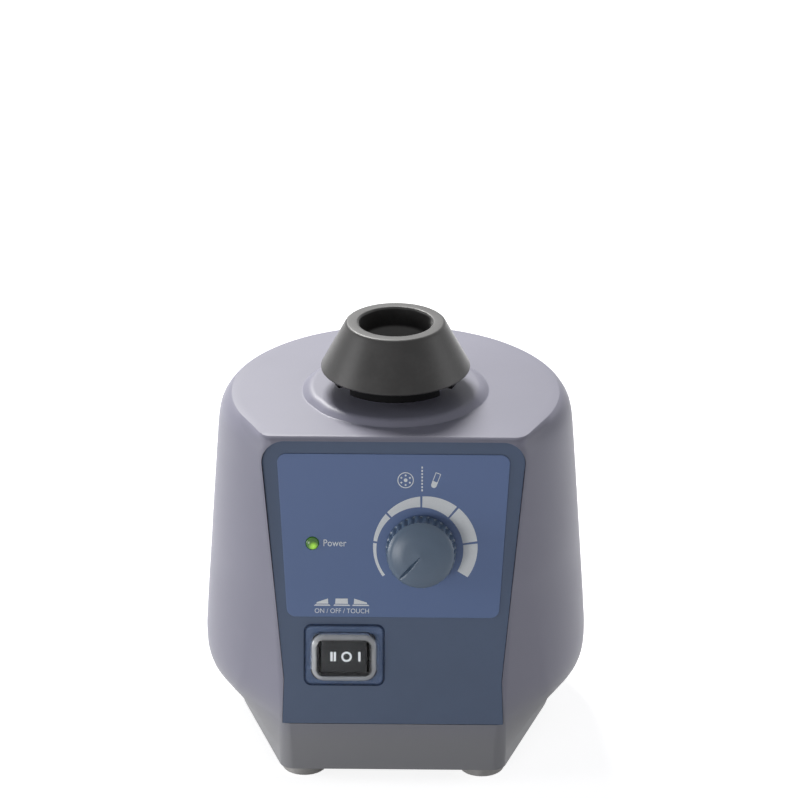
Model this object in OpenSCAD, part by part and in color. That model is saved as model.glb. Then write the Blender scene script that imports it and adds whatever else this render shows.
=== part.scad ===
/* [Body] */
// Radius of the round body at its widest level
body_r = 65; // [63:0.5:68]
// Height of the widest level above the bench
widest_z = 30; // [27:1:34]
// Radius of the body just below the top shoulder
shoulder_r = 59.7; // [58:0.1:61]
// Height of the flat top above the bench
top_z = 117; // [115:0.5:121]
// Radius of the straight band at the foot of the body
band_r = 53.4; // [52:0.1:55]
// Height of the straight band
band_h = 5; // [3:0.5:8]
// Forward reach of the front face at the top, from the drive axis
front_top = 39.5; // [38:0.5:41]
// Backward lean of the front face
front_lean = 10.9; // [9:0.1:12]
// Half width of the front face at the top
front_half_top = 44.9; // [44:0.1:47]
// Half width of the front face at the base
front_half_foot = 38; // [36:0.5:40]
// Wall of the moulded housing
wall = 2.6; // [2:0.1:3.2]
// Depth of the frame that carries the front panel
frame_depth = 7.5; // [6.5:0.5:9]
// Radius of the raised boss round the neck
boss_r = 31.5; // [29:0.5:34]
// Height of the raised boss
boss_h = 2; // [1.5:0.1:2.4]
// Radius of the neck hole
neck_hole_r = 14; // [13.8:0.1:14.4]
// Wall of the splash collar round the neck hole
collar_wall = 1.8; // [1.5:0.1:2]
// Height of the splash collar above the boss
collar_h = 1.4; // [1:0.1:1.6]

/* [Front panel] */
// Length of the front panel up its slope
panel_len = 96.6; // [94:0.2:97]
// Half width of the front panel at its foot
panel_half_foot = 34.9; // [33:0.1:35.5]
// Gain in half width for each millimetre up the panel
panel_flare = 0.0886; // [0.07:0.001:0.09]
// Backward lean of the front panel
panel_lean = 12.2; // [12:0.1:12.4]
// Thickness of the front panel
panel_t = 2.5; // [2:0.1:3]
// Corner radius at the top of the front panel
panel_corner_r = 7.5; // [4:0.5:10]
// Height up the panel where the overlay starts
overlay_low = 36.8; // [36:0.2:38]
// Height up the panel where the overlay ends
overlay_high = 92.2; // [88:0.2:93]
// Thickness of the overlay sheet
overlay_t = 0.4; // [0.3:0.1:0.6]

/* [Controls] */
// Knob axis to the right of the middle of the panel
knob_u = 9.2; // [7:0.2:12]
// Knob axis up the panel
knob_v = 60; // [58:0.5:62]
// Radius of the knob at its skirt
knob_r = 11.8; // [11:0.1:12.5]
// Height of the knob above the overlay
knob_h = 10; // [9:0.5:13]
// Radius of the potentiometer shaft
pot_shaft_r = 3; // [2.5:0.1:3.2]
// Power light to the side of the middle of the panel
lamp_u = -26.8; // [-28:0.2:-25]
// Power light up the panel
lamp_v = 61.9; // [60:0.1:64]
// Radius of the power light lens
lamp_r = 2.2; // [1.8:0.1:2.5]
// Switch centre to the side of the middle of the panel
switch_u = -16.2; // [-17:0.1:-15]
// Switch centre up the panel
switch_v = 23.7; // [23:0.1:25]
// Length of the rocker across the panel
rocker_len = 15.2; // [14.6:0.1:15.4]
// Height of the rocker up the panel
rocker_w = 10.9; // [10.4:0.1:11]

/* [Cup head] */
// Radius of the rubber cup at its skirt
skirt_r = 25.1; // [24:0.1:26]
// Radius of the rubber cup at its rim
rim_r = 16.9; // [16:0.1:18]
// Radius of the cup's mouth
mouth_r = 12.3; // [11:0.1:13]
// Depth of the straight wall of the mouth
mouth_depth = 7; // [5:0.5:8]
// Height of the rubber cup from skirt to rim
cup_h = 16.4; // [15.5:0.1:17]
// Outer radius of the crown below the cup
crown_r = 21.1; // [20.8:0.1:21.6]
// Wall of the crown
crown_wall = 2.4; // [2:0.1:2.5]
// How far the crown shows below the cup
crown_drop = 4.4; // [4:0.1:4.8]
// Angle that the open side windows of the crown start at, from the front
window_from = 45; // [42:1:50]
// Angle that each open window of the crown takes
window_span = 20; // [14:1:24]

/* [Drive] */
// Offset of the cup axis from the drive axis
crank = 2; // [1.5:0.1:2]
// Travel of the cup when it is pressed
press_travel = 2; // [1:0.1:2]
// Radius of the motor shaft
shaft_r = 3; // [2.5:0.1:3.5]
// Radius of the eccentric pin
pin_r = 4; // [3.5:0.1:4]
// Outer radius of the cup bearings
bearing_r = 8; // [7.8:0.1:8.2]
// Width of each cup bearing
bearing_w = 5; // [4:0.5:5]
// Radius of the motor's rotor
rotor_r = 15; // [13:0.5:16]
// Thickness of the stator's lamination stack
stack_h = 20; // [16:1:22]
// Radius of the cooling fan
fan_r = 19; // [15:1:20]

/* [Carriage and base] */
// Thickness of the heavy base plate
base_t = 8; // [6:0.5:9]
// Thickness of the carriage plate
carriage_t = 4; // [3:0.5:5]
// Height of the carriage plate above the bench
carriage_z = 36; // [34:0.5:38]
// Radius of the guide posts
post_r = 3; // [2.5:0.1:3.2]
// Guide post offset across the body
post_x = 35; // [34:0.5:37]
// Guide post offset along the body
post_y = 18; // [17:0.5:19]
// Radius of the rubber feet
foot_r = 7.9; // [7:0.1:8.5]
// Height of the rubber feet
foot_h = 5; // [4:0.5:6]
// Front feet offset across the body
foot_x = 29.8; // [28:0.2:31]
// Front feet distance ahead of the drive axis
foot_front = 49.5; // [47:0.5:50]
// Rear feet distance behind the drive axis
foot_rear = 33; // [30:0.5:34]

/* [Rear inlet] */
// Width of the mains inlet flange
inlet_w = 31; // [30:0.5:33]
// Height of the mains inlet flange
inlet_h = 42; // [41:0.5:44]
// Height of the middle of the inlet above the bench
inlet_z = 44; // [43:0.5:46]
// Depth of the inlet body behind its flange
inlet_depth = 19; // [17:0.5:20]

/* [Hidden] */
$fn = 48;
fine = 96;
coarse = 32;

// Small gaps that the fits share
fit = 0.05;      // shafts in their holes
seat = 0.15;     // pieces that drop into a cut-out
air = 0.3;       // pieces on different bodies that only come close
cut = 1;         // how far a cutter runs past the face it opens

// The drive axis stands a little ahead of the middle, so that the part's box is centred
front_foot = front_top + (top_z - foot_h) * tan(front_lean);
axis_y = (front_foot - body_r) / 2;

// Body levels: height, radius, half width of the front face, reach of the front face
function front_reach(z) = front_top + (top_z - z) * tan(front_lean);
function front_half(z) =
    front_half_foot + (front_half_top - front_half_foot) * (z - foot_h) / (top_z - foot_h);
band_top = foot_h + band_h;
chamfer_h = widest_z - band_top;
shoulder_h = 9;
shoulder_in = 4.6;
band_out_r = band_r + 1.3;
chamfer_out = body_r - band_out_r;
top_edge_in = 1.2;
levels = [
    [foot_h, band_r, 0],
    [band_top, band_out_r, 0],
    [band_top + 0.14 * chamfer_h, band_out_r + 0.26 * chamfer_out, 0],
    [band_top + 0.40 * chamfer_h, band_out_r + 0.66 * chamfer_out, 0],
    [band_top + 0.62 * chamfer_h, band_out_r + 0.93 * chamfer_out, 0],
    [band_top + 0.78 * chamfer_h, body_r - 0.15, 0],
    [widest_z, body_r, 0],
    [widest_z + 6, body_r - 0.3, 0],
    [top_z - shoulder_h, shoulder_r, 0],
    [top_z - 0.55 * shoulder_h, shoulder_r - 0.18 * shoulder_in, 0],
    [top_z - 0.25 * shoulder_h, shoulder_r - 0.48 * shoulder_in, 0],
    [top_z - 0.08 * shoulder_h, shoulder_r - 0.76 * shoulder_in, 0.3 * top_edge_in],
    [top_z, shoulder_r - shoulder_in, top_edge_in]
];
hollow_levels = [for (i = [0, 1, 3, 4, 6, 7, 8, 9, 12])
    let (level = levels[i], down = i == 0 ? 0.02 : i > 8 ? wall : 0) [level[0] - down, level[1]]];
corner_r = 5;
corner_steps = 5;
arc_steps = 60;
function back_r(z) = lookup(z, [for (level = levels) [level[0], level[1]]]);

// Front panel frame: the foot of the panel lies flush in the front face
panel_foot_z = foot_h + 15.6;
panel_foot_y = front_reach(panel_foot_z);
function panel_half(v) = panel_half_foot + panel_flare * v;
foot_flare_v = 7.5;
foot_flare_half = front_half(panel_foot_z) - 2.2;
ledge = 3.5;

// Cup head levels
boss_top = top_z + boss_h;
collar_top = boss_top + collar_h;
skirt_z = boss_top + 7.4;
rim_z = skirt_z + cup_h;
crown_low = skirt_z - crown_drop;
platform_top = skirt_z + 3;
platform_t = 3;
platform_under = platform_top - platform_t;
hub_wall = 2.4;

// Drive levels
base_low = foot_h + 0.4;
base_top = base_low + base_t;
bracket_strip = 3;
bracket_rise = 10;
stack_z = carriage_z + carriage_t + bracket_rise;
stack_top = stack_z + stack_h;
end_ring_h = 2.5;
fan_z = carriage_z - 14;
fan_h = 9;
bearing_top = platform_under - 0.4;
bearing_low = bearing_top - 2 * bearing_w - 0.5;
hub_top = bearing_low - 1.2;
hub_low = top_z - 25;
hub_neck_r = 9.5;
weight_h = 9;
weight_r = 21;
post_head_h = 3;
bush_flange = 1.2;
bush_out = post_r + 2;
post_top = carriage_z + carriage_t + bush_flange + air;
half_stack_y = 24;
stack_left = 34;
stack_right = 22;
limb = 9;
window_w = 6;
window_len = 28;
screw_y = 20;

// ---------- shared shapes ----------

module on_axis() {
    translate([0, axis_y, 0]) children();
}

module at_cup() {
    translate([0, axis_y - crank, 0]) children();
}

// Local X runs to the right, local Y up the panel, local Z out of its face
module on_panel(u = 0, v = 0, out = 0) {
    translate([0, axis_y - panel_foot_y, panel_foot_z])
        rotate([90 - panel_lean, 0, 0])
            translate([u, v, out]) children();
}

module each_side() {
    for (side = [-1, 1])
        scale_x(side) children();
}

module scale_x(side) {
    if (side < 0) mirror([1, 0, 0]) children();
    else children();
}

module ring(outer, inner, h) {
    difference() {
        cylinder(h = h, r = outer);
        translate([0, 0, -cut]) cylinder(h = h + 2 * cut, r = inner);
    }
}

module rounded_box(size, r) {
    linear_extrude(size[2]) rounded_rect(size[0], size[1], r);
}

// Rectangle about the origin with true arcs at its corners
module rounded_rect(w, h, r) {
    square([w - 2 * r, h], center = true);
    square([w, h - 2 * r], center = true);
    for (x = [-1, 1], y = [-1, 1])
        translate([x * (w / 2 - r), y * (h / 2 - r)]) circle(r);
}

// Points of the body's outline at one level: front corners, side faces and the round back
function outline(r, w, reach, bends = corner_steps, arcs = arc_steps) =
    let (cy = corner_r - reach,
        cx = max(w - corner_r, sqrt(max(0, pow(r - corner_r, 2) - pow(cy, 2)))),
        lean = atan2(cy, cx) + acos(min(1, (r - corner_r) / norm([cx, cy]))))
    concat(
        [for (i = [0 : bends]) let (a = -90 + (lean + 90) * i / bends)
            [cx + corner_r * cos(a), cy + corner_r * sin(a)]],
        [for (i = [0 : arcs]) let (a = lean + (180 - 2 * lean) * i / arcs)
            [(r + 0.02) * cos(a), (r + 0.02) * sin(a)]],
        [for (i = [0 : bends]) let (a = 180 - lean + (90 + lean) * i / bends)
            [-cx + corner_r * cos(a), cy + corner_r * sin(a)]]);

// A closed skin through rings that have the same number of points
module loft(rings) {
    n = len(rings[0]);
    last = len(rings) - 1;
    sides = [for (i = [0 : last - 1], k = [0 : n - 1])
        let (a = i * n + k, b = i * n + (k + 1) % n) [a, a + n, b + n, b]];
    under = [for (k = [0 : n - 1]) k];
    over = [for (k = [0 : n - 1]) last * n + n - 1 - k];
    polyhedron(points = [for (ring = rings) each ring], faces = concat(sides, [under], [over]),
        convexity = 4);
}

module outer_body() {
    loft([for (level = levels)
        [for (p = outline(level[1], front_half(level[0]), front_reach(level[0]) - level[2]))
            [p[0], p[1], level[0]]]]);
}

slab = 0.3;
sill_depth = 3;

// One level of the hollow inside
module cavity_slice(level) {
    depth = level[0] > band_top ? frame_depth : sill_depth;
    translate([0, 0, level[0]]) linear_extrude(slab)
        polygon(outline(level[1] - wall, front_half(level[0]) - wall,
            front_reach(level[0]) - depth, 3, 36));
}

module cavity() {
    for (i = [0 : len(hollow_levels) - 2]) hull() {
        cavity_slice(hollow_levels[i]);
        cavity_slice(hollow_levels[i + 1]);
    }
}

// The round back of the body, shrunk by inset, for pads that end inside its wall
module back_solid(inset) {
    rotate_extrude() polygon(concat([[0, levels[3][0] + 1.3], [back_r(levels[3][0] + 1.3) - inset, levels[3][0] + 1.3]],
        [for (i = [4 : 9]) [levels[i][1] - inset, levels[i][0]]], [[0, levels[9][0]]]));
}

module panel_shape(grow) {
    top_half = panel_half(panel_len) + grow;
    rise = panel_len + grow;
    r = panel_corner_r;
    polygon([
        [-(foot_flare_half + grow), -grow], [foot_flare_half + grow, -grow],
        [foot_flare_half + grow, foot_flare_v - 1.5], [panel_half(foot_flare_v) + grow, foot_flare_v],
        [top_half - 0.1, rise - r], [top_half - r, rise - r], [top_half - r, rise],
        [-(top_half - r), rise], [-(top_half - r), rise - r], [-(top_half - 0.1), rise - r],
        [-(panel_half(foot_flare_v) + grow), foot_flare_v],
        [-(foot_flare_half + grow), foot_flare_v - 1.5]
    ]);
    for (side = [-1, 1])
        translate([side * (top_half - r), rise - r]) circle(r);
}

module window_shape() {
    low = foot_flare_v;
    high = panel_len - ledge;
    polygon([
        [-(panel_half(low) - ledge), low], [panel_half(low) - ledge, low],
        [panel_half(high) - ledge, high - 6], [panel_half(high) - ledge - 6, high],
        [-(panel_half(high) - ledge - 6), high], [-(panel_half(high) - ledge), high - 6]
    ]);
}

module overlay_shape() {
    inset = 4.05;
    r = 3;
    low = overlay_low;
    high = overlay_high;
    lo = panel_half(low) - inset + 1.2;
    hi = panel_half(high) - inset - 0.6;
    polygon([[-(lo - r), low], [lo - r, low], [lo, low + r], [hi, high - r], [hi - r, high],
        [-(hi - r), high], [-hi, high - r], [-lo, low + r]]);
    for (side = [-1, 1]) {
        translate([side * (lo - r), low + r]) circle(r);
        translate([side * (hi - r), high - r]) circle(r);
    }
}

// ---------- positions shared by holes and screws ----------

base_screw_at = [[-38.4, -33], [38.4, -33], [-24, 42], [24, 42]];
base_screw_r = 1.9;
boss_col_r = 4.4;
foot_at = [[-foot_x, -foot_front], [foot_x, -foot_front], [-foot_x, foot_rear], [foot_x, foot_rear]];
foot_spigot_r = 3.4;
foot_screw_r = 1.5;
post_at = [[-post_x, -post_y], [post_x, -post_y], [-post_x, post_y], [post_x, post_y]];
post_thread_r = post_r - 0.8;
panel_screw_at = [[-30, 10.5], [30, 10.5], [-37, 86], [37, 86]];
board_low_v = 40;
board_high_v = 86;
board_left_u = -9;
board_right_u = 33;
board_out = -13;
board_t = 1.6;
board_screw_at = [[board_left_u + 4, board_low_v + 4], [board_right_u - 4, board_low_v + 4],
    [board_left_u + 4, board_high_v - 4], [board_right_u - 4, board_high_v - 4]];
board_screw_r = 1.2;
inlet_face = body_r - 5;
inlet_flange_t = 2.5;
inlet_body_w = 27;
inlet_margin = 4.75;
inlet_body_h = inlet_h - 2 * inlet_margin;
inlet_body_low = inlet_z - 1.55 - inlet_body_h / 2;
inlet_low = inlet_body_low - inlet_margin;
inlet_screw_at = [inlet_low + 2.6, inlet_low + inlet_h - 2.6];
drawer_w = 21;
drawer_h = 7.6;
drawer_z = inlet_body_low + drawer_h / 2 + 1.4;
drawer_depth = 17;
socket_w = 24.4;
socket_h = 16.6;
socket_z = inlet_body_low + inlet_body_h - socket_h / 2 - 1.4;
socket_depth = 15.5;
touch_x = 29;
touch_top = carriage_z - air;

// ---------- body root ----------

module neck_profile() {
    polygon([[neck_hole_r, top_z - wall], [boss_r, top_z - wall], [boss_r, top_z],
        [boss_r - 2.3, boss_top], [neck_hole_r + collar_wall, boss_top],
        [neck_hole_r + collar_wall, collar_top], [neck_hole_r, collar_top]]);
}

col_h = 16;

// Screw column with a rib that ends inside the sloping wall
module screw_column(p) {
    out = norm(p);
    low = base_top + 0.6;
    high = base_top + col_h - 1.1;
    translate([p[0], p[1], base_top]) cylinder(h = col_h, r = boss_col_r, $fn = coarse);
    rotate([0, 0, atan2(p[1], p[0])]) rotate([90, 0, 0]) linear_extrude(2.4, center = true)
        polygon([[out + 2, low], [back_r(low) - wall / 2, low],
            [back_r((low + high) / 2) - wall / 2, (low + high) / 2],
            [back_r(high) - wall / 2, high], [out + 2, high]]);
}

module housing() color([0.52, 0.53, 0.60]) on_axis() {
    difference() {
        union() {
            difference() {
                outer_body();
                cavity();
            }
            for (p = base_screw_at) screw_column(p);
            intersection() {
                back_solid(wall / 2);
                translate([-(inlet_w / 2 + 3), inlet_face - wall, inlet_low - 3])
                    cube([inlet_w + 6, 10, inlet_h + 6]);
            }
            rotate_extrude($fn = 64) neck_profile();
        }
        translate([0, 0, top_z - 10]) cylinder(h = 10 + cut, r = neck_hole_r, $fn = 64);
        translate([0, -axis_y, 0]) {
            on_panel(0, 0, -panel_t) linear_extrude(20) panel_shape(seat);
            on_panel(0, 0, -20) linear_extrude(30) window_shape();
            for (p = panel_screw_at)
                on_panel(p[0], p[1], -panel_t - 9) cylinder(h = 10, r = 1.3, $fn = 16);
        }
        for (p = base_screw_at)
            translate([p[0], p[1], base_top - cut]) cylinder(h = 13 + cut, r = 1.5 + fit, $fn = 24);
        translate([-(inlet_w / 2 + seat), inlet_face, inlet_low - seat])
            cube([inlet_w + 2 * seat, 20, inlet_h + 2 * seat]);
        translate([-(inlet_body_w / 2 + seat), inlet_face - 15, inlet_body_low - seat])
            cube([inlet_body_w + 2 * seat, 20, inlet_body_h + 2 * seat]);
        for (z = inlet_screw_at)
            translate([0, inlet_face - 8, z]) rotate([-90, 0, 0]) cylinder(h = 12, r = 1.2 + fit, $fn = 16);
    }
}

module base_plate() color([0.30, 0.31, 0.33]) on_axis() {
    gap = 0.3;
    over = (base_top - band_top) / (levels[3][0] - band_top) * (frame_depth - sill_depth);
    difference() {
        translate([0, 0, base_low]) linear_extrude(base_t)
            polygon(outline(band_r - wall - gap, front_half(foot_h) - wall - gap,
                front_reach(base_top) - sill_depth - over - gap, 3, 36));
        for (p = base_screw_at) translate([p[0], p[1], 0]) {
            cylinder(h = base_top + cut, r = base_screw_r);
            cylinder(h = base_low + 2.6, r = 3.4);
        }
        for (p = foot_at) translate([p[0], p[1], 0]) {
            cylinder(h = base_low + 3, r = foot_spigot_r + fit);
            cylinder(h = base_top - 1, r = foot_screw_r + fit);
        }
        for (p = post_at) translate([p[0], p[1], base_low + 1])
            cylinder(h = base_t, r = post_thread_r + fit);
        for (x = [-2 : 2]) translate([x * 7, 0, 0])
            for (y = [-14, 14]) translate([0, y, base_low + base_t / 2])
                cube([3, 18, base_t + 2 * cut], center = true);
        translate([touch_x + 8, 0, base_low + 2]) cylinder(h = base_t, r = 1.5 + fit);
    }
}

module screw(r, len, head_r, head_h) {
    difference() {
        union() {
            translate([0, 0, -head_h]) cylinder(h = head_h, r1 = head_r * 0.86, r2 = head_r);
            cylinder(h = len, r = r);
        }
        translate([0, 0, -head_h - cut]) cylinder(h = cut + head_h * 0.55, r = head_r * 0.42, $fn = 6);
    }
}

module base_screws() color([0.62, 0.62, 0.62]) on_axis()
    for (p = base_screw_at) translate([p[0], p[1], base_low + 2.6]) screw(1.5, base_t + 8, 3, 2);

module foot(i) {
    translate([foot_at[i][0], foot_at[i][1], 0]) difference() {
        union() {
            rotate_extrude() polygon([[0, 0], [foot_r - 0.9, 0], [foot_r, 0.9],
                [foot_r - 0.3, foot_h], [0, foot_h]]);
            translate([0, 0, foot_h - 0.5]) cylinder(h = 3.3, r = foot_spigot_r);
        }
        translate([0, 0, -cut]) cylinder(h = cut + 3, r = 3.6);
        cylinder(h = 20, r = foot_screw_r + fit);
    }
}

module foot_front_left() color([0.60, 0.59, 0.60]) on_axis() foot(0);
module foot_front_right() color([0.60, 0.59, 0.60]) on_axis() foot(1);
module foot_rear_left() color([0.60, 0.59, 0.60]) on_axis() foot(2);
module foot_rear_right() color([0.60, 0.59, 0.60]) on_axis() foot(3);

module foot_screws() color([0.62, 0.62, 0.62]) on_axis()
    for (p = foot_at) translate([p[0], p[1], 3]) screw(foot_screw_r, 8, 2.8, 1.6);

module front_panel() color([0.24, 0.29, 0.37]) {
    difference() {
        union() {
            on_panel(0, 0, -panel_t) linear_extrude(panel_t) panel_shape(0);
            for (p = board_screw_at)
                on_panel(p[0], p[1], board_out) cylinder(h = -board_out - panel_t / 2, r = 2.6);
        }
        on_panel(knob_u, knob_v, -panel_t - cut) cylinder(h = panel_t + 2 * cut, r = 3.6);
        on_panel(lamp_u, lamp_v, -panel_t - cut) cylinder(h = panel_t + 2 * cut, r = lamp_r + fit);
        on_panel(switch_u, switch_v, -panel_t - cut)
            rounded_box([switch_body_len + 2 * seat, switch_body_w + 2 * seat, panel_t + 2 * cut], 0.8);
        for (p = panel_screw_at)
            on_panel(p[0], p[1], -panel_t - cut) cylinder(h = cut + 1.6, r = 1.3);
        for (p = board_screw_at)
            on_panel(p[0], p[1], board_out - cut) cylinder(h = 8 + cut, r = board_screw_r + fit);
    }
}

module panel_overlay() color([0.34, 0.40, 0.53]) difference() {
    on_panel() linear_extrude(overlay_t) overlay_shape();
    on_panel(knob_u, knob_v, -cut) cylinder(h = 3, r = 6.6);
    on_panel(lamp_u, lamp_v, -cut) cylinder(h = 3, r = lamp_r + fit);
}

module panel_screws() color([0.62, 0.62, 0.62])
    for (p = panel_screw_at)
        on_panel(p[0], p[1], -panel_t - 4.4) screw(1.2, 4.4 + 1.3, 2.4, 1.5);

// ---------- rocker switch ----------

switch_flange_len = 20.6;
switch_flange_w = 14.8;
switch_flange_t = 1.4;
switch_body_len = 18.8;
switch_body_w = 13;
switch_depth = 17;
pivot_out = -2.5;
pivot_r = 1.2;
rocker_top = 2.4;
rocker_crest = 0.5;

module switch_body() color([0.10, 0.10, 0.11]) on_panel(switch_u, switch_v) difference() {
    union() {
        rounded_box([switch_flange_len, switch_flange_w, switch_flange_t], 1.5);
        translate([0, 0, -switch_depth]) rounded_box([switch_body_len, switch_body_w,
            switch_depth + 0.5], 0.7);
    }
    translate([0, 0, -switch_depth + 4 + 15]) cube([rocker_len + 1.6, rocker_w + 0.4, 30], center = true);
    translate([0, 0, pivot_out]) rotate([90, 0, 0])
        cylinder(h = rocker_w + 2.6, r = pivot_r + fit, center = true);
    for (i = [-1 : 1]) translate([i * 5.2, 0, -switch_depth])
        cube([0.9, 4.8, 3], center = true);
}

module switch_terminals() color([0.80, 0.78, 0.70]) on_panel(switch_u, switch_v)
    for (i = [-1 : 1]) translate([i * 5.2, 0, -switch_depth - 3.3]) difference() {
        cube([0.8, 4.7, 9], center = true);
        translate([0, 0, -2.4]) rotate([0, 90, 0]) cylinder(h = 3, r = 0.9, center = true);
    }

boot_flange_len = 27;
boot_flange_w = 21;
boot_flange_t = 1;
boot_len = 22.6;
boot_w = 16.8;
boot_rise = 5.2;
boot_wall = 0.8;
boot_roof = 0.7;

module switch_boot() color([0.80, 0.82, 0.84, 0.5]) on_panel(switch_u, switch_v) difference() {
    union() {
        rounded_box([boot_flange_len, boot_flange_w, boot_flange_t], 2.6);
        rounded_box([boot_len, boot_w, boot_rise - 1], 2.4);
        rounded_box([boot_len - 1.2, boot_w - 1.2, boot_rise - 0.4], 2);
        rounded_box([boot_len - 2.4, boot_w - 2.4, boot_rise], 1.6);
    }
    translate([0, 0, -cut]) rounded_box([boot_len - 2 * boot_wall, boot_w - 2 * boot_wall,
        cut + boot_rise - boot_roof - 0.6], 1.6);
    translate([0, 0, -cut]) rounded_box([boot_len - 2 * boot_wall - 2.4, boot_w - 2 * boot_wall - 2.4,
        cut + boot_rise - boot_roof], 1.2);
}

module rocker() color([0.12, 0.12, 0.13]) on_panel(switch_u, switch_v, pivot_out) {
    top = rocker_top - pivot_out;
    half = rocker_len / 2;
    rotate([90, 0, 0]) translate([0, 0, -rocker_w / 2]) linear_extrude(rocker_w) union() {
        polygon([[-half, top - rocker_crest], [-half + 0.5, top - rocker_crest + 0.25],
            [0, top], [half - 0.5, top - rocker_crest + 0.25], [half, top - rocker_crest],
            [half, 0.6], [half - 2.4, -2.2], [2, -4.2], [-2, -4.2], [-half + 2.4, -2.2], [-half, 0.6]]);
    }
    rotate([90, 0, 0]) cylinder(h = rocker_w + 2.2, r = pivot_r, center = true);
}

// ---------- power light ----------

module power_lamp() color([0.42, 0.62, 0.14]) on_panel(lamp_u, lamp_v) {
    translate([0, 0, -6]) cylinder(h = 6 + overlay_t, r = lamp_r);
    intersection() {
        translate([0, 0, overlay_t + 0.9 - lamp_r]) sphere(lamp_r);
        translate([0, 0, 0]) cylinder(h = 4, r = lamp_r);
    }
    for (x = [-0.9, 0.9]) translate([x, 0, -9]) cylinder(h = 3.5, r = 0.3, $fn = 16);
}

module lamp_clip() color([0.12, 0.12, 0.12]) on_panel(lamp_u, lamp_v, -panel_t - 2.4)
    ring(lamp_r + 1.6, lamp_r + fit, 2.4);

// ---------- speed control ----------

knob_gap = overlay_t + 0.6;
pot_bush_r = 3.5;
pot_body_r = 8.2;
pot_body_t = 7.6;
nut_t = 1.8;
nut_r = 5.6;
pot_shaft_top = knob_gap + knob_h - 2.2;

module speed_knob() color([0.27, 0.33, 0.41]) on_panel(knob_u, knob_v, knob_gap) difference() {
    union() {
        rotate_extrude() difference() {
            polygon([[0, 0], [knob_r - 0.35, 0], [knob_r - 0.85, knob_h - 2.2],
                [knob_r - 1.3, knob_h - 1.4], [knob_r - 2.4, knob_h - 0.8],
                [knob_r - 5, knob_h - 0.25], [0, knob_h]]);
            polygon([[pot_shaft_r + 2, -cut], [knob_r - 2.6, -cut], [knob_r - 3.4, knob_h - 4],
                [pot_shaft_r + 2, knob_h - 4]]);
        }
        for (a = [0 : 12 : 359]) rotate([0, 0, a]) translate([knob_r - 0.75, 0, 0])
            cylinder(h = knob_h - 2.4, r = 0.75, $fn = 16);
    }
    translate([0, 0, -cut]) cylinder(h = cut + pot_shaft_top - knob_gap + 0.1, r = pot_shaft_r + fit);
    translate([0, 0, -cut]) cylinder(h = cut + nut_t + 1.4 - knob_gap, r = nut_r + 0.6);
    rotate([0, 0, pointer_angle]) translate([0.4, -0.4, knob_h - 1.6]) cube([knob_r, 0.8, 3]);
}
pointer_angle = 229;

module pot_shaft() color([0.72, 0.72, 0.70]) on_panel(knob_u, knob_v, -panel_t - 5)
    cylinder(h = panel_t + 5 + pot_shaft_top, r = pot_shaft_r);

module pot_body() color([0.55, 0.56, 0.50]) on_panel(knob_u, knob_v) difference() {
    union() {
        translate([0, 0, -panel_t - pot_body_t]) cylinder(h = pot_body_t, r = pot_body_r);
        translate([0, 0, -panel_t - 0.1]) cylinder(h = panel_t + 0.1 + nut_t + 1, r = pot_bush_r);
        translate([-5, -pot_body_r - 3, -panel_t - pot_body_t + 1]) cube([10, 5, 1.2]);
    }
    translate([0, 0, -panel_t - 5 - 0.3]) cylinder(h = 20, r = pot_shaft_r + fit);
}

module pot_nut() color([0.72, 0.72, 0.70]) on_panel(knob_u, knob_v, 0) difference() {
    cylinder(h = nut_t, r = nut_r, $fn = 6);
    translate([0, 0, -cut]) cylinder(h = 5, r = pot_bush_r + fit);
}

// ---------- control board ----------

module control_board() color([0.16, 0.36, 0.22]) difference() {
    on_panel((board_left_u + board_right_u) / 2, (board_low_v + board_high_v) / 2, board_out - board_t)
        rounded_box([board_right_u - board_left_u, board_high_v - board_low_v, board_t], 1);
    for (p = board_screw_at)
        on_panel(p[0], p[1], board_out - 5) cylinder(h = 10, r = board_screw_r + 0.2);
}

module board_screws() color([0.62, 0.62, 0.62])
    for (p = board_screw_at) on_panel(p[0], p[1], board_out - board_t) screw(board_screw_r, 7, 2.2, 1.3);

module triac() color([0.10, 0.10, 0.10]) on_panel(board_right_u - 10.1, board_low_v + 15.5, board_out) {
    translate([0, 2, 2.2]) cube([10, 15, 4.4], center = true);
    for (x = [-2.5, 0, 2.5]) translate([x, -7, 1.4]) cube([0.8, 4, 2.8], center = true);
}

module heat_sink() color([0.72, 0.73, 0.75]) on_panel(board_right_u - 7.7, board_low_v + 18.5, board_out + 4.4) {
    translate([0, 0, 0.8]) cube([15, 18, 1.6], center = true);
    for (x = [-3 : 3]) translate([x * 2.2, 0, 2.9]) cube([0.9, 18, 2.8], center = true);
}

module filter_capacitor() color([0.72, 0.54, 0.20]) on_panel(board_right_u - 9, board_high_v - 12, board_out)
    translate([0, 0, 4.5]) cube([14, 9, 9], center = true);

module terminal_block() color([0.18, 0.42, 0.30]) on_panel(board_left_u + 17.5, board_low_v + 3.9, board_out) difference() {
    translate([0, 0, 4.5]) cube([16, 7, 9], center = true);
    for (x = [-5, 0, 5]) translate([x, 0, 5]) rotate([90, 0, 0]) cylinder(h = 20, r = 1.5, center = true);
    for (x = [-5, 0, 5]) translate([x, 0, 5]) cylinder(h = 10, r = 1.7);
}

// ---------- mains inlet ----------

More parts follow.
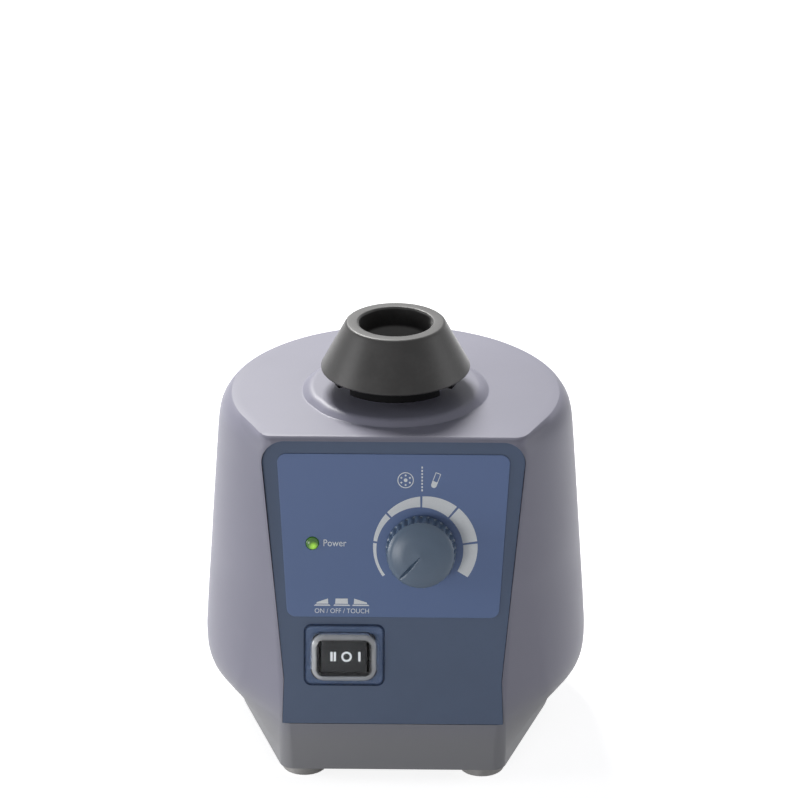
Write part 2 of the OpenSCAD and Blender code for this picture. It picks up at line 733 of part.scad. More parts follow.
module mains_inlet() color([0.09, 0.09, 0.10]) on_axis() translate([0, inlet_face, 0]) difference() {
    union() {
        translate([-inlet_w / 2, 0, inlet_low]) cube([inlet_w, inlet_flange_t, inlet_h]);
        translate([-inlet_body_w / 2, -inlet_depth, inlet_body_low])
            cube([inlet_body_w, inlet_depth + 0.5, inlet_body_h]);
    }
    translate([-socket_w / 2, inlet_flange_t - socket_depth, socket_z - socket_h / 2])
        cube([socket_w, socket_depth + cut, socket_h]);
    translate([-(drawer_w / 2 + seat), inlet_flange_t - drawer_depth - 0.5,
        drawer_z - drawer_h / 2 - seat])
        cube([drawer_w + 2 * seat, drawer_depth + 0.5 + cut, drawer_h + 2 * seat]);
    for (z = inlet_screw_at)
        translate([0, -cut, z]) rotate([-90, 0, 0]) cylinder(h = 6, r = 1.3);
    for (p = blade_at) translate([p[0], -inlet_depth - cut, socket_z + p[1]])
        translate([-1 - seat, 0, -2 - seat]) cube([2 + 2 * seat, inlet_depth, 4 + 2 * seat]);
}
blade_at = [[-7, -2], [7, -2], [0, 2]];

module inlet_blades() color([0.80, 0.78, 0.70]) on_axis() translate([0, inlet_face, 0])
    for (p = blade_at) translate([p[0] - 1, -inlet_depth - 5, socket_z + p[1] - 2])
        cube([2, inlet_depth + 4, 4]);

module inlet_screws() color([0.20, 0.20, 0.20]) on_axis()
    for (z = inlet_screw_at)
        translate([0, inlet_face + inlet_flange_t, z]) rotate([90, 0, 0]) screw(1.2, 6, 2.2, 1.1);

module fuse_drawer() color([0.13, 0.13, 0.14]) on_axis() translate([0, inlet_face, 0]) difference() {
    union() {
        translate([-drawer_w / 2, inlet_flange_t - drawer_depth, drawer_z - drawer_h / 2])
            cube([drawer_w, drawer_depth, drawer_h]);
        translate([-drawer_w / 2 - 1, inlet_flange_t + air, drawer_z - drawer_h / 2 - 0.6])
            cube([drawer_w + 2, 1.4, drawer_h + 1.2]);
        translate([-4, inlet_flange_t + 0.5, drawer_z - drawer_h / 2 - 0.6]) cube([8, 2.2, 1.8]);
        translate([-drawer_w / 2 + 1, inlet_flange_t - 0.5, drawer_z - drawer_h / 2 + 0.5])
            cube([drawer_w - 2, 1, drawer_h - 1]);
    }
    translate([-10.2, inlet_flange_t - drawer_depth + 2, drawer_z - 2.2])
        cube([20.4, 6.6, drawer_h]);
}

module fuse() color([0.86, 0.87, 0.88]) on_axis()
    translate([0, inlet_face + inlet_flange_t - drawer_depth + 5.3, drawer_z + 0.4])
        rotate([0, 90, 0]) union() {
            cylinder(h = 19.6, r = 2.3, center = true);
            for (z = [-7.5, 7.5]) translate([0, 0, z]) cylinder(h = 5, r = 2.55, center = true);
        }

// A round lead swept through its points, with a ring across each one
lead_sides = 8;
function along(points, i) =
    let (a = points[max(0, i - 1)], b = points[min(len(points) - 1, i + 1)]) (b - a) / norm(b - a);
function lead_ring(points, i, r) =
    let (d = along(points, i), up = [0.31, 0.24, 0.92],
        side = cross(d, up) / norm(cross(d, up)), over = cross(d, side))
    [for (k = [0 : lead_sides - 1]) let (a = 360 * k / lead_sides)
        points[i] + r * (side * cos(a) + over * sin(a))];
module lead(points, r) {
    loft([for (i = [0 : len(points) - 1]) lead_ring(points, i, r)]);
}
lead_r = 1.1;
lead_level = socket_z - 2;
lead_side = body_r - 14;
lead_tag_y = inlet_face - inlet_depth - 5;

function at_panel(u, v, out) = [u, -panel_foot_y + v * sin(panel_lean) - out * cos(panel_lean),
    panel_foot_z + v * cos(panel_lean) + out * sin(panel_lean)];

module mains_leads() color([0.45, 0.25, 0.15]) on_axis() {
    lead([[-7, lead_tag_y, lead_level], [-7, lead_tag_y - 2, lead_level],
        [-10, lead_tag_y - 4.5, lead_level + 2], [-24, 35, lead_level + 8], [-(lead_side - 7), 22, lead_level + 9],
        [-lead_side, 6, lead_level + 8], [-(lead_side - 1), -12, lead_level + 4],
        [-(lead_side - 7), -26, lead_level - 1],
        [-36, -30.6, lead_level - 6], [-29, -31, lead_level - 8],
        at_panel(switch_u - 5.2 - 0.7, switch_v, -switch_depth - 5.7)], lead_r);
    lead([[7, lead_tag_y, lead_level], [7, lead_tag_y - 2, lead_level],
        [10, lead_tag_y - 4.5, lead_level + 2], [24, 35, lead_level + 8], [lead_side - 7, 22, lead_level + 9],
        [lead_side, 4, lead_level + 9], [lead_side - 4, -18, lead_level + 7], [36, -33, lead_level + 3],
        [24, -40, lead_level + 1], [16, -43, lead_level + 1.5], at_panel(13.5, 34, board_out + 5),
        at_panel(13.5, 42, board_out + 5)], lead_r);
}

// ---------- touch switch on the base ----------

module touch_switch() color([0.12, 0.12, 0.13]) on_axis() difference() {
    translate([touch_x, 0, carriage_z - 8]) cube([6.4, 20, 10], center = true);
    translate([touch_x, 5, carriage_z - 9]) cylinder(h = 10, r = 1.5 + fit);
    for (y = [-4.8, 4.8]) translate([touch_x, y, carriage_z - 10.5]) rotate([0, 90, 0])
        cylinder(h = 10, r = 1.2, center = true);
}

module touch_switch_bracket() color([0.72, 0.73, 0.75]) on_axis() difference() {
    union() {
        translate([touch_x + 3.2, -9, base_top]) cube([1.5, 18, carriage_z - 4 - base_top]);
        translate([touch_x + 3.2, -7, base_top]) cube([9, 14, 1.5]);
        for (y = [-4.8, 4.8]) translate([touch_x - 2.8, y, carriage_z - 10.5]) rotate([0, 90, 0])
            cylinder(h = 6.5, r = 1.2 - fit);
    }
    translate([touch_x + 8, 0, base_top - cut]) cylinder(h = 5, r = 1.6);
}

module touch_plunger() color([0.75, 0.20, 0.16]) on_axis()
    translate([touch_x, 5, carriage_z - 6]) cylinder(h = touch_top - carriage_z + 6, r = 1.5);

// ---------- guide posts and springs ----------

module guide_posts() color([0.70, 0.71, 0.73]) on_axis()
    for (p = post_at) translate([p[0], p[1], 0]) {
        translate([0, 0, base_low + 1.6]) cylinder(h = base_t, r = post_thread_r);
        translate([0, 0, base_top]) cylinder(h = post_top - base_top, r = post_r);
        translate([0, 0, post_top]) difference() {
            cylinder(h = post_head_h, r = post_r + 1.2);
            translate([0, 0, 1.4]) cylinder(h = 3, r = 1.6, $fn = 6);
        }
    }

spring_wire = 0.6;
spring_r = post_r + 1.6;
spring_turns = 5;
spring_low = base_top + spring_wire;
spring_top = carriage_z - bush_flange - spring_wire - air;
ring_sides = 5;
turn_steps = 12;
function spring_point(s) =
    [spring_r * cos(360 * s * spring_turns), spring_r * sin(360 * s * spring_turns),
        spring_low + (spring_top - spring_low) * s];
function spring_ring(s) = [for (k = [0 : ring_sides - 1])
    let (a = 360 * k / ring_sides, turn = 360 * s * spring_turns, c = spring_point(s))
        [c[0] + spring_wire * cos(a) * cos(turn), c[1] + spring_wire * cos(a) * sin(turn),
            c[2] - spring_wire * sin(a)]];
module spring() {
    loft([for (i = [0 : spring_turns * turn_steps]) spring_ring(i / (spring_turns * turn_steps))]);
}

module return_springs() color([0.62, 0.63, 0.66]) on_axis()
    for (p = post_at) translate([p[0], p[1], 0]) spring();

// ---------- carriage ----------

module carriage_plate() color([0.66, 0.67, 0.69]) on_axis() translate([0, 0, carriage_z]) difference() {
    rounded_box([2 * post_x + 16, 2 * post_y + 14, carriage_t], 5);
    for (p = post_at) translate([p[0], p[1], -cut]) cylinder(h = carriage_t + 2 * cut, r = bush_out);
    translate([0, 0, -cut]) cylinder(h = carriage_t + 2 * cut, r = shaft_r + 4);
    for (y = [-screw_y, screw_y]) translate([0, y, -cut])
        cylinder(h = carriage_t + 2 * cut, r = 2 + fit);
    for (x = [-18, 18]) translate([x, 0, carriage_t / 2])
        cube([8, 26, carriage_t + 2 * cut], center = true);
}

module carriage_bushes() color([0.88, 0.87, 0.82]) on_axis()
    for (p = post_at) translate([p[0], p[1], carriage_z]) difference() {
        union() {
            cylinder(h = carriage_t, r = bush_out - fit);
            translate([0, 0, -bush_flange]) cylinder(h = bush_flange, r = bush_out + 1.5);
            translate([0, 0, carriage_t]) cylinder(h = bush_flange, r = bush_out + 1.5);
        }
        translate([0, 0, -5]) cylinder(h = carriage_t + 10, r = post_r + fit);
    }

bush_len = 6;
bush_r = shaft_r + 2.6;
bracket_w = 14;

// A bridge over the rotor: a strip with a bearing hub and two legs
module motor_bridge() {
    difference() {
        union() {
            translate([0, 0, bracket_strip / 2])
                cube([bracket_w, 2 * screw_y + 8, bracket_strip], center = true);
            cylinder(h = bush_len, r = bush_r + 2.4);
            for (y = [-screw_y, screw_y])
                translate([0, y, bracket_rise / 2]) cube([bracket_w, 8, bracket_rise], center = true);
        }
        translate([0, 0, -cut]) cylinder(h = bush_len + 2 * cut, r = bush_r);
        for (y = [-screw_y, screw_y]) translate([0, y, -cut])
            cylinder(h = bracket_rise + 2 * cut, r = 2 + fit);
    }
}

module lower_motor_bracket() color([0.60, 0.61, 0.62]) on_axis()
    translate([0, 0, carriage_z + carriage_t]) motor_bridge();

module upper_motor_bracket() color([0.60, 0.61, 0.62]) on_axis()
    translate([0, 0, stack_top + bracket_rise]) mirror([0, 0, 1]) motor_bridge();

module motor_bushes() color([0.62, 0.46, 0.26]) on_axis() {
    translate([0, 0, carriage_z + carriage_t]) ring(bush_r - fit, shaft_r + fit, bush_len);
    translate([0, 0, stack_top + bracket_rise - bush_len]) ring(bush_r - fit, shaft_r + fit, bush_len);
}

module stator_stack() color([0.42, 0.43, 0.46]) on_axis() translate([0, 0, stack_z]) difference() {
    translate([-stack_left, -half_stack_y, 0])
        cube([stack_left + stack_right, 2 * half_stack_y, stack_h]);
    translate([0, 0, -cut]) cylinder(h = stack_h + 2 * cut, r = rotor_r + 0.4);
    translate([-stack_left + limb, -window_len / 2, -cut])
        cube([window_w, window_len, stack_h + 2 * cut]);
    for (y = [-screw_y, screw_y]) translate([0, y, -cut])
        cylinder(h = stack_h + 2 * cut, r = 2 + fit);
    for (s = [-1, 1]) rotate([0, 0, s > 0 ? 45 : 225]) translate([rotor_r + 2.6, 0, -cut])
        cylinder(h = stack_h + 2 * cut, r = 1.2, $fn = 24);
}

module shading_rings() color([0.72, 0.42, 0.24]) on_axis()
    for (s = [-1, 1]) rotate([0, 0, s > 0 ? 45 : 225]) translate([rotor_r + 2.6, 0, stack_z - 1.4]) {
        cylinder(h = stack_h + 2.8, r = 1.2 - fit, $fn = 24);
        translate([-0.6, -0.9, 0]) cube([4, 1.8, 1.3]);
        translate([-0.6, -0.9, stack_h + 1.5]) cube([4, 1.8, 1.3]);
    }

bobbin_in_x = limb + 0.6;
coil_over = 5;
module coil_ring(w, h, len, hole_w, hole_h) {
    difference() {
        cube([w, len, h], center = true);
        cube([hole_w, len + 2 * cut, hole_h], center = true);
    }
}
limb_x = -stack_left + limb / 2;

module coil_bobbin() color([0.90, 0.89, 0.84]) on_axis() translate([limb_x, 0, stack_z + stack_h / 2]) {
    coil_ring(limb + 2.4, stack_h + 2.4, window_len - 1, limb + 0.4, stack_h + 0.4);
    for (s = [-1, 1]) translate([0, s * (window_len / 2 - 1.1), 0])
        coil_ring(limb + 2 * window_w - 1.6, stack_h + 2 * coil_over + 2, 1.2, limb + 0.4, stack_h + 0.4);
}

module motor_coil() color([0.62, 0.30, 0.14]) on_axis() translate([limb_x, 0, stack_z + stack_h / 2])
    coil_ring(limb + 2 * window_w - 2.4, stack_h + 2 * coil_over, window_len - 3.6,
        limb + 2.5, stack_h + 2.5);

module motor_screws() color([0.70, 0.71, 0.73]) on_axis()
    for (y = [-screw_y, screw_y]) translate([0, y, carriage_z])
        screw(2, stack_top + bracket_rise - carriage_z + 1, 3.6, 2.2);

// ---------- rotor ----------

module motor_shaft() color([0.74, 0.75, 0.77]) on_axis()
    translate([0, 0, fan_z - 1]) cylinder(h = hub_top - 4 - fan_z + 1, r = shaft_r);

module rotor_core() color([0.52, 0.53, 0.55]) on_axis() translate([0, 0, stack_z - end_ring_h]) difference() {
    union() {
        cylinder(h = stack_h + 2 * end_ring_h, r = rotor_r - 2.4);
        translate([0, 0, end_ring_h]) cylinder(h = stack_h, r = rotor_r);
    }
    translate([0, 0, -cut]) cylinder(h = stack_h + 10, r = shaft_r + 0.02);
}

module cooling_fan() color([0.18, 0.18, 0.19]) on_axis() translate([0, 0, fan_z]) difference() {
    union() {
        cylinder(h = fan_h, r = shaft_r + 3);
        cylinder(h = 1.2, r = fan_r);
        for (a = [0 : 40 : 359]) rotate([0, 0, a]) translate([shaft_r + 2, -0.7, 0])
            cube([fan_r - shaft_r - 2.6, 1.4, fan_h - 1]);
    }
    translate([0, 0, -cut]) cylinder(h = fan_h + 2 * cut, r = shaft_r + 0.02);
}

module eccentric_hub() color([0.72, 0.66, 0.50]) on_axis() translate([0, 0, hub_low]) difference() {
    union() {
        intersection() {
            cylinder(h = weight_h, r = weight_r);
            translate([-weight_r, -3, 0]) cube([2 * weight_r, weight_r + 3, weight_h]);
        }
        cylinder(h = weight_h, r = hub_neck_r + 1);
        cylinder(h = hub_top - hub_low, r = hub_neck_r);
    }
    translate([0, 0, -cut]) cylinder(h = hub_top - 4 - hub_low + cut, r = shaft_r + 0.02);
    translate([0, -crank, hub_top - hub_low - 7]) cylinder(h = 10, r = pin_r + 0.02);
    translate([0, 0, weight_h / 2]) rotate([90, 0, 0]) cylinder(h = 30, r = 1.6);
}

module hub_screw() color([0.25, 0.25, 0.26]) on_axis() translate([0, 0, hub_low + weight_h / 2])
    rotate([90, 0, 0]) difference() {
        translate([0, 0, shaft_r + 0.1]) cylinder(h = 6, r = 1.55);
        translate([0, 0, shaft_r + 4.5]) cylinder(h = 6, r = 0.8, $fn = 6);
    }

pin_low = hub_top - 3.9;
module eccentric_pin() color([0.74, 0.75, 0.77]) at_cup() difference() {
    union() {
        translate([0, 0, pin_low]) cylinder(h = bearing_top + 1 - pin_low, r = pin_r);
        translate([0, 0, hub_top]) cylinder(h = bearing_low - hub_top, r = pin_r + 1);
    }
    translate([0, 0, bearing_top + 0.1]) ring(pin_r + 1, pin_r - 0.5, 0.5);
}

module pin_clip() color([0.30, 0.30, 0.31]) at_cup() translate([0, 0, bearing_top + 0.12]) difference() {
    ring(pin_r + 0.9, pin_r - 0.45, 0.44);
    translate([0, -1, -cut]) cube([10, 2, 3]);
}

race_r = (pin_r + bearing_r) / 2;
ball_r = 0.95;
ring_wall = 1.25;
bearing_levels = [bearing_low, bearing_top - bearing_w];

module bearing_inner_rings() color([0.76, 0.77, 0.79]) at_cup() for (z = bearing_levels)
    translate([0, 0, z]) difference() {
        ring(pin_r + ring_wall, pin_r + 0.02, bearing_w);
        translate([0, 0, bearing_w / 2]) rotate_extrude() translate([race_r, 0]) circle(ball_r + 0.05);
    }

module bearing_outer_rings() color([0.76, 0.77, 0.79]) at_cup() for (z = bearing_levels)
    translate([0, 0, z]) difference() {
        ring(bearing_r, bearing_r - ring_wall, bearing_w);
        translate([0, 0, bearing_w / 2]) rotate_extrude() translate([race_r, 0]) circle(ball_r + 0.1);
    }

module bearing_balls() color([0.82, 0.83, 0.85]) at_cup() for (z = bearing_levels, a = [0 : 40 : 359])
    translate([0, 0, z + bearing_w / 2]) rotate([0, 0, a]) translate([race_r, 0, 0])
        sphere(ball_r, $fn = 24);

// ---------- cup ----------

module cup_platform() color([0.08, 0.08, 0.08]) at_cup() difference() {
    union() {
        rotate_extrude($fn = fine) polygon([
            [0, platform_under], [bearing_r + hub_wall, platform_under],
            [crown_r - crown_wall, platform_under], [crown_r - crown_wall, crown_low + 0.4],
            [crown_r - crown_wall + 0.4, crown_low], [crown_r - 0.4, crown_low],
            [crown_r, crown_low + 0.4], [crown_r, platform_top], [0, platform_top]]);
        translate([0, 0, bearing_low]) cylinder(h = platform_under - bearing_low + 1, r = bearing_r + hub_wall);
    }
    translate([0, 0, bearing_low - cut]) cylinder(h = bearing_top - bearing_low + cut, r = bearing_r + 0.02);
    translate([0, 0, bearing_top - 0.5]) cylinder(h = 2.2, r = bearing_r - ring_wall);
    for (a = [window_from + window_span / 2, 180 - window_from - window_span / 2,
        180 + window_from + window_span / 2, 360 - window_from - window_span / 2])
        rotate([0, 0, a - 90]) translate([crown_r, 0, crown_low + (platform_under - crown_low) / 2 - 0.5])
            cube([12, 2 * crown_r * sin(window_span / 2), platform_under - crown_low + 1], center = true);
}

module cup_head() color([0.20, 0.20, 0.20]) at_cup() rotate_extrude($fn = fine) difference() {
    polygon([
        [0, platform_top], [crown_r + 0.02, platform_top], [crown_r + 0.02, skirt_z + 0.5],
        [crown_r + 1, skirt_z], [skirt_r - 0.6, skirt_z], [skirt_r, skirt_z + 0.6],
        [rim_r + 0.3, rim_z - 1.6], [rim_r - 0.4, rim_z - 0.4], [rim_r - 1, rim_z],
        [mouth_r + 0.6, rim_z], [mouth_r, rim_z - 0.6], [mouth_r, rim_z - mouth_depth],
        [mouth_r - 2, rim_z - mouth_depth - 2.2], [mouth_r * 0.45, rim_z - mouth_depth - 4.2],
        [0, rim_z - mouth_depth - 4.6]
    ]);
}

housing();
base_plate();
base_screws();
foot_front_left();
foot_front_right();
foot_rear_left();
foot_rear_right();
foot_screws();
front_panel();
panel_overlay();
panel_screws();
switch_body();
switch_terminals();
switch_boot();
rocker();
power_lamp();
lamp_clip();
speed_knob();
pot_shaft();
pot_body();
pot_nut();
control_board();
board_screws();
triac();
heat_sink();
filter_capacitor();
terminal_block();
mains_inlet();
inlet_blades();
inlet_screws();
fuse_drawer();
fuse();
mains_leads();
guide_posts();
return_springs();
touch_switch();
touch_switch_bracket();
touch_plunger();
carriage_plate();
carriage_bushes();
lower_motor_bracket();
upper_motor_bracket();
motor_bushes();
stator_stack();
coil_bobbin();
motor_coil();
shading_rings();
motor_screws();
motor_shaft();
rotor_core();
cooling_fan();
eccentric_hub();
hub_screw();
eccentric_pin();
pin_clip();
bearing_inner_rings();
bearing_balls();
bearing_outer_rings();
cup_platform();
cup_head();
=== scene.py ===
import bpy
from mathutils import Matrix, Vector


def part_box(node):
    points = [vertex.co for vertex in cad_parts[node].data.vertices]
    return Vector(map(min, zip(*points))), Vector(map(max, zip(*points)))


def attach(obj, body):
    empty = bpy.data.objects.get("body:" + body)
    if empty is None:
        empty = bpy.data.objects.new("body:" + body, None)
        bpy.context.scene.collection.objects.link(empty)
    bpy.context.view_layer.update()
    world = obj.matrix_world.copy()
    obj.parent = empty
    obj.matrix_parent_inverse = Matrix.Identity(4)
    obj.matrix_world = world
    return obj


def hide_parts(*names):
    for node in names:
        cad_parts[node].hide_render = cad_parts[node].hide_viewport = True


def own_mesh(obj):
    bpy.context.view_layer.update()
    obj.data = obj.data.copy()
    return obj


bl_info = {
    "name": "Vortex Mixer",
    "version": (1, 0, 0),
    "blender": (4, 5, 0),
    "location": "View3D > Sidebar > Mixer",
    "description": "Builds the finished skin of a bench vortex mixer round its solids",
    "category": "Add Mesh",
}

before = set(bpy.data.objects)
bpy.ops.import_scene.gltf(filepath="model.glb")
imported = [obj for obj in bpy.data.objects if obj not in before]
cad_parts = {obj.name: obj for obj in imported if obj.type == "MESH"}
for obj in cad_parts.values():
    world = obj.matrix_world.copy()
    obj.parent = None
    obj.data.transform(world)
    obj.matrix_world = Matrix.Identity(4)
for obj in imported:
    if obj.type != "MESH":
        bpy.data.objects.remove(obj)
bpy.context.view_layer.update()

import math

import bmesh
import bpy
from mathutils import Matrix, Vector

MM = 0.001

# ---------- where things are, in millimetres ----------

AXIS_Y = -1.9661
CRANK = 2.0
PANEL_LEAN = math.radians(12.2)
PANEL_FOOT_Y = 58.0637
PANEL_FOOT_Z = 20.6
KNOB_AT = (9.2, 60.0)
SWITCH_AT = (-16.2, 23.7)
LAMP_AT = (-26.8, 61.9)
LAMP_DIE_AT = (-26.4, 61.0)
POINTER = math.radians(229)
BOOT_WIDTH, BOOT_HEIGHT, BOOT_CORNER = 22.4, 16.6, 4.6
BOOT_WALL = 0.8
FLANGE_WIDTH, FLANGE_HEIGHT, FLANGE_CORNER = 27, 21, 2.6
CUP_FOOT = 126.4
BASE_SCREWS = ((-38.4, -33), (38.4, -33), (-24, 42), (24, 42))
FEET = {"front_left": (-29.8, -49.5), "front_right": (29.8, -49.5),
        "rear_left": (-29.8, 33), "rear_right": (29.8, 33)}
SPRINGS = [(x, y) for x in (-35, 35) for y in (-18, 18)]
SHARP = math.radians(38)


def on_panel(u, v, out=0.0):
    """A point of the sloping panel: u to the right, v up the slope, out towards the user."""
    rise, run = math.cos(PANEL_LEAN), math.sin(PANEL_LEAN)
    return (u, AXIS_Y - PANEL_FOOT_Y + v * run - out * rise, PANEL_FOOT_Z + v * rise + out * run)


def panel_frame(u, v, out=0.0):
    """Matrix that lays a flat piece, made in millimetres, on the panel."""
    turn = Matrix.Rotation(math.pi / 2 - PANEL_LEAN, 4, "X")
    return Matrix.Translation(Vector(on_panel(u, v, out)) * MM) @ turn @ Matrix.Scale(MM, 4)


def about(x, y):
    """Matrix for a piece made in millimetres round an upright line."""
    return Matrix.Translation(Vector((x, y, 0)) * MM) @ Matrix.Scale(MM, 4)


IN_MM = Matrix.Scale(MM, 4)
ON_AXIS = about(0, AXIS_Y)
AT_CUP = about(0, AXIS_Y - CRANK)

# ---------- sizes and colours ----------


def length(name, description, default):
    return bpy.props.FloatProperty(
        name=name, description=description, default=default * MM, min=0.0,
        unit="LENGTH", subtype="DISTANCE", precision=5)


def colour(name, description, default):
    return bpy.props.FloatVectorProperty(
        name=name, description=description, default=default, size=3, min=0.0, max=1.0,
        subtype="COLOR")


class MixerBody(bpy.types.PropertyGroup):
    foot_height: length("Foot height", "Gap between the bench and the body", 5.0)
    top_height: length("Top height", "Height of the body's flat top", 117.0)
    front_top: length("Front at top", "Reach of the front face at the top", 39.5)
    half_top: length("Half width at top", "Half width of the front face at the top", 44.9)
    half_foot: length("Half width at foot", "Half width of the front face at the foot", 38.0)
    front_lean: bpy.props.FloatProperty(
        name="Front lean", description="How far the front face leans back",
        default=math.radians(10.9), unit="ROTATION", subtype="ANGLE")
    corner: length("Corner radius", "Radius of the front's upright corners", 5.0)
    wall: length("Wall", "Thickness of the shell", 2.6)
    boss: length("Boss radius", "Radius of the low boss under the cup", 31.5)
    boss_height: length("Boss height", "Height of the boss above the top", 2.0)
    neck: length("Neck hole", "Radius of the hole that the drive comes through", 14.0)
    lip: length("Lip", "Rounding of the edge round the panel", 0.8)


class MixerPanel(bpy.types.PropertyGroup):
    length: length("Panel length", "Length of the panel up the slope", 96.6)
    half_foot: length("Half width at foot", "Half width of the panel at its foot", 34.9)
    flare: bpy.props.FloatProperty(
        name="Flare", description="Growth of the half width with height", default=0.0886)
    corner: length("Corner radius", "Radius of the panel's upper corners", 7.5)
    thickness: length("Thickness", "Thickness of the panel", 2.5)
    overlay: length("Overlay", "Thickness of the printed overlay", 0.4)
    print_height: length("Print", "Thickness of the printed signs", 0.03)
    dial_radius: length("Dial radius", "Outer radius of the printed dial", 17.3)


class MixerKnob(bpy.types.PropertyGroup):
    radius: length("Radius", "Radius of the speed knob", 11.8)
    height: length("Height", "Height of the speed knob", 10.0)
    flutes: bpy.props.IntProperty(
        name="Flutes", description="Number of flutes round the knob", default=30, min=6)
    flute_depth: length("Flute depth", "Depth of each flute", 0.6)


class MixerCup(bpy.types.PropertyGroup):
    skirt: length("Skirt radius", "Radius of the cup's lower edge", 25.1)
    rim: length("Rim radius", "Radius of the cup's upper edge", 16.9)
    mouth: length("Mouth radius", "Radius of the mouth that takes the tube", 12.3)
    depth: length("Mouth depth", "Depth of the straight wall of the mouth", 7.0)
    height: length("Height", "Height of the cone", 16.4)


class MixerColours(bpy.types.PropertyGroup):
    body: colour("Body", "Paint of the body", (0.243, 0.240, 0.302))
    panel: colour("Panel", "Moulded front panel", (0.070, 0.105, 0.182))
    overlay: colour("Overlay", "Printed overlay", (0.123, 0.192, 0.380))
    signs: colour("Signs", "Ink of the printed signs", (0.90, 0.93, 0.97))
    knob: colour("Knob", "Speed knob", (0.074, 0.120, 0.186))
    rubber: colour("Cup rubber", "Rubber of the cup", (0.0165, 0.0155, 0.0152))
    carrier: colour("Cup carrier", "Plastic of the windowed carrier", (0.004, 0.004, 0.0045))
    feet: colour("Feet", "Rubber of the feet", (0.42, 0.41, 0.40))
    lamp: colour("Lamp", "Lens of the power lamp", (0.10, 0.32, 0.02))


GROUPS = {
    "mixer_body": MixerBody, "mixer_panel": MixerPanel, "mixer_knob": MixerKnob,
    "mixer_cup": MixerCup, "mixer_colours": MixerColours,
}


def sizes(group):
    """The lengths of one property group in millimetres, by name."""
    held = getattr(bpy.context.scene, group)
    found = {}
    for key, kind in type(held).__annotations__.items():
        value = getattr(held, key)
        found[key] = value / MM if kind.keywords.get("unit") == "LENGTH" else value
    return found


def paint_colour(name):
    return tuple(getattr(bpy.context.scene.mixer_colours, name))


# ---------- node trees ----------


class Wire:
    """A socket that adds maths nodes when it is used in an expression."""

    def __init__(self, graph, socket):
        self.graph, self.socket = graph, socket

    def maths(self, operation, *values):
        sockets = dict(enumerate((self,) + values))
        return self.graph.node("ShaderNodeMath", {"operation": operation}, sockets)

    def __add__(self, other):
        return self.maths("ADD", other)

    def __sub__(self, other):
        return self.maths("SUBTRACT", other)

    def __rsub__(self, other):
        return self.graph.node("ShaderNodeMath", {"operation": "SUBTRACT"}, {0: other, 1: self})

    def __mul__(self, other):
        return self.maths("MULTIPLY", other)

    def __truediv__(self, other):
        return self.maths("DIVIDE", other)

    def __pow__(self, other):
        return self.maths("POWER", other)

    def above(self, edge):
        return self.maths("GREATER_THAN", edge)

    def fade(self, low, high):
        """0 at low and 1 at high, smoothly."""
        return self.graph.node("ShaderNodeMapRange", {"interpolation_type": "SMOOTHSTEP"}, {
            "Value": self, "From Min": low, "From Max": high, "To Min": 0.0, "To Max": 1.0})


class Graph:
    """Builds one node tree."""

    def __init__(self, tree):
        self.tree = tree

    def node(self, kind, settings=None, sockets=None, out=0):
        made = self.tree.nodes.new(kind)
        for key, value in (settings or {}).items():
            setattr(made, key, value)
        for key, value in (sockets or {}).items():
            self.feed(made.inputs[key], value)
        return Wire(self, made.outputs[out])

    def feed(self, socket, value):
        if isinstance(value, Wire):
            self.tree.links.new(value.socket, socket)
        else:
            wide = socket.type == "RGBA" and len(value) == 3
            socket.default_value = (*value, 1.0) if wide else value

    def mix(self, factor, first, second):
        """Two colours mixed."""
        return self.node("ShaderNodeMix", {"data_type": "RGBA"}, {0: factor, 6: first, 7: second}, out=2)

    def light_path(self, *rays):
        """1 for each of the named kinds of ray."""
        outputs = self.node("ShaderNodeLightPath").socket.node.outputs
        return [Wire(self, outputs[ray]) for ray in rays]


def shade(tone, share):
    """A colour made lighter or darker."""
    return tuple(min(1.0, c * share) for c in tone)


class Finish(Graph):
    """A procedural material on Object coordinates."""

    def __init__(self, name, base, roughness, **constants):
        self.material = bpy.data.materials.new(name)
        self.material.use_nodes = True
        super().__init__(self.material.node_tree)
        self.tree.nodes.clear()
        self.place = self.node("ShaderNodeTexCoord", out="Object")
        self.shader = self.tree.nodes.new("ShaderNodeBsdfPrincipled")
        self.output = self.tree.nodes.new("ShaderNodeOutputMaterial")
        self.tree.links.new(self.shader.outputs[0], self.output.inputs["Surface"])
        self.base = base
        self.set("Base Color", base)
        self.set("Roughness", roughness)
        for key, value in constants.items():
            self.set(key.replace("_", " ").title().replace("Ior", "IOR"), value)
        self.material.diffuse_color = (*base, 1.0)

    def set(self, name, value):
        self.feed(self.shader.inputs[name], value)

    def noise(self, size, detail=2.0, rough=0.5, stretch=None):
        """Noise with features of about size millimetres."""
        place = self.place
        if stretch:
            place = self.node("ShaderNodeMapping", None, {"Vector": place, "Scale": stretch})
        return self.node("ShaderNodeTexNoise", None, {
            "Vector": place, "Scale": 1.0 / (size * MM), "Detail": detail, "Roughness": rough})

    def axes(self):
        split = self.node("ShaderNodeSeparateXYZ", None, {0: self.place})
        made = split.socket.node
        return [Wire(self, made.outputs[k]) for k in range(3)]

    def bump(self, height, depth, strength=1.0, after=None):
        """Height of 0 to 1 as a relief of depth millimetres."""
        sockets = {"Strength": strength, "Distance": depth * MM, "Height": height}
        if after is not None:
            sockets["Normal"] = after
        made = self.node("ShaderNodeBump", None, sockets)
        self.set("Normal", made)
        return made

    def mottle(self, size, amount):
        """Base colour that drifts lighter and darker by amount."""
        drift = self.noise(size, 3.0)
        self.set("Base Color", self.mix(drift, shade(self.base, 1 - amount), shade(self.base, 1 + amount)))


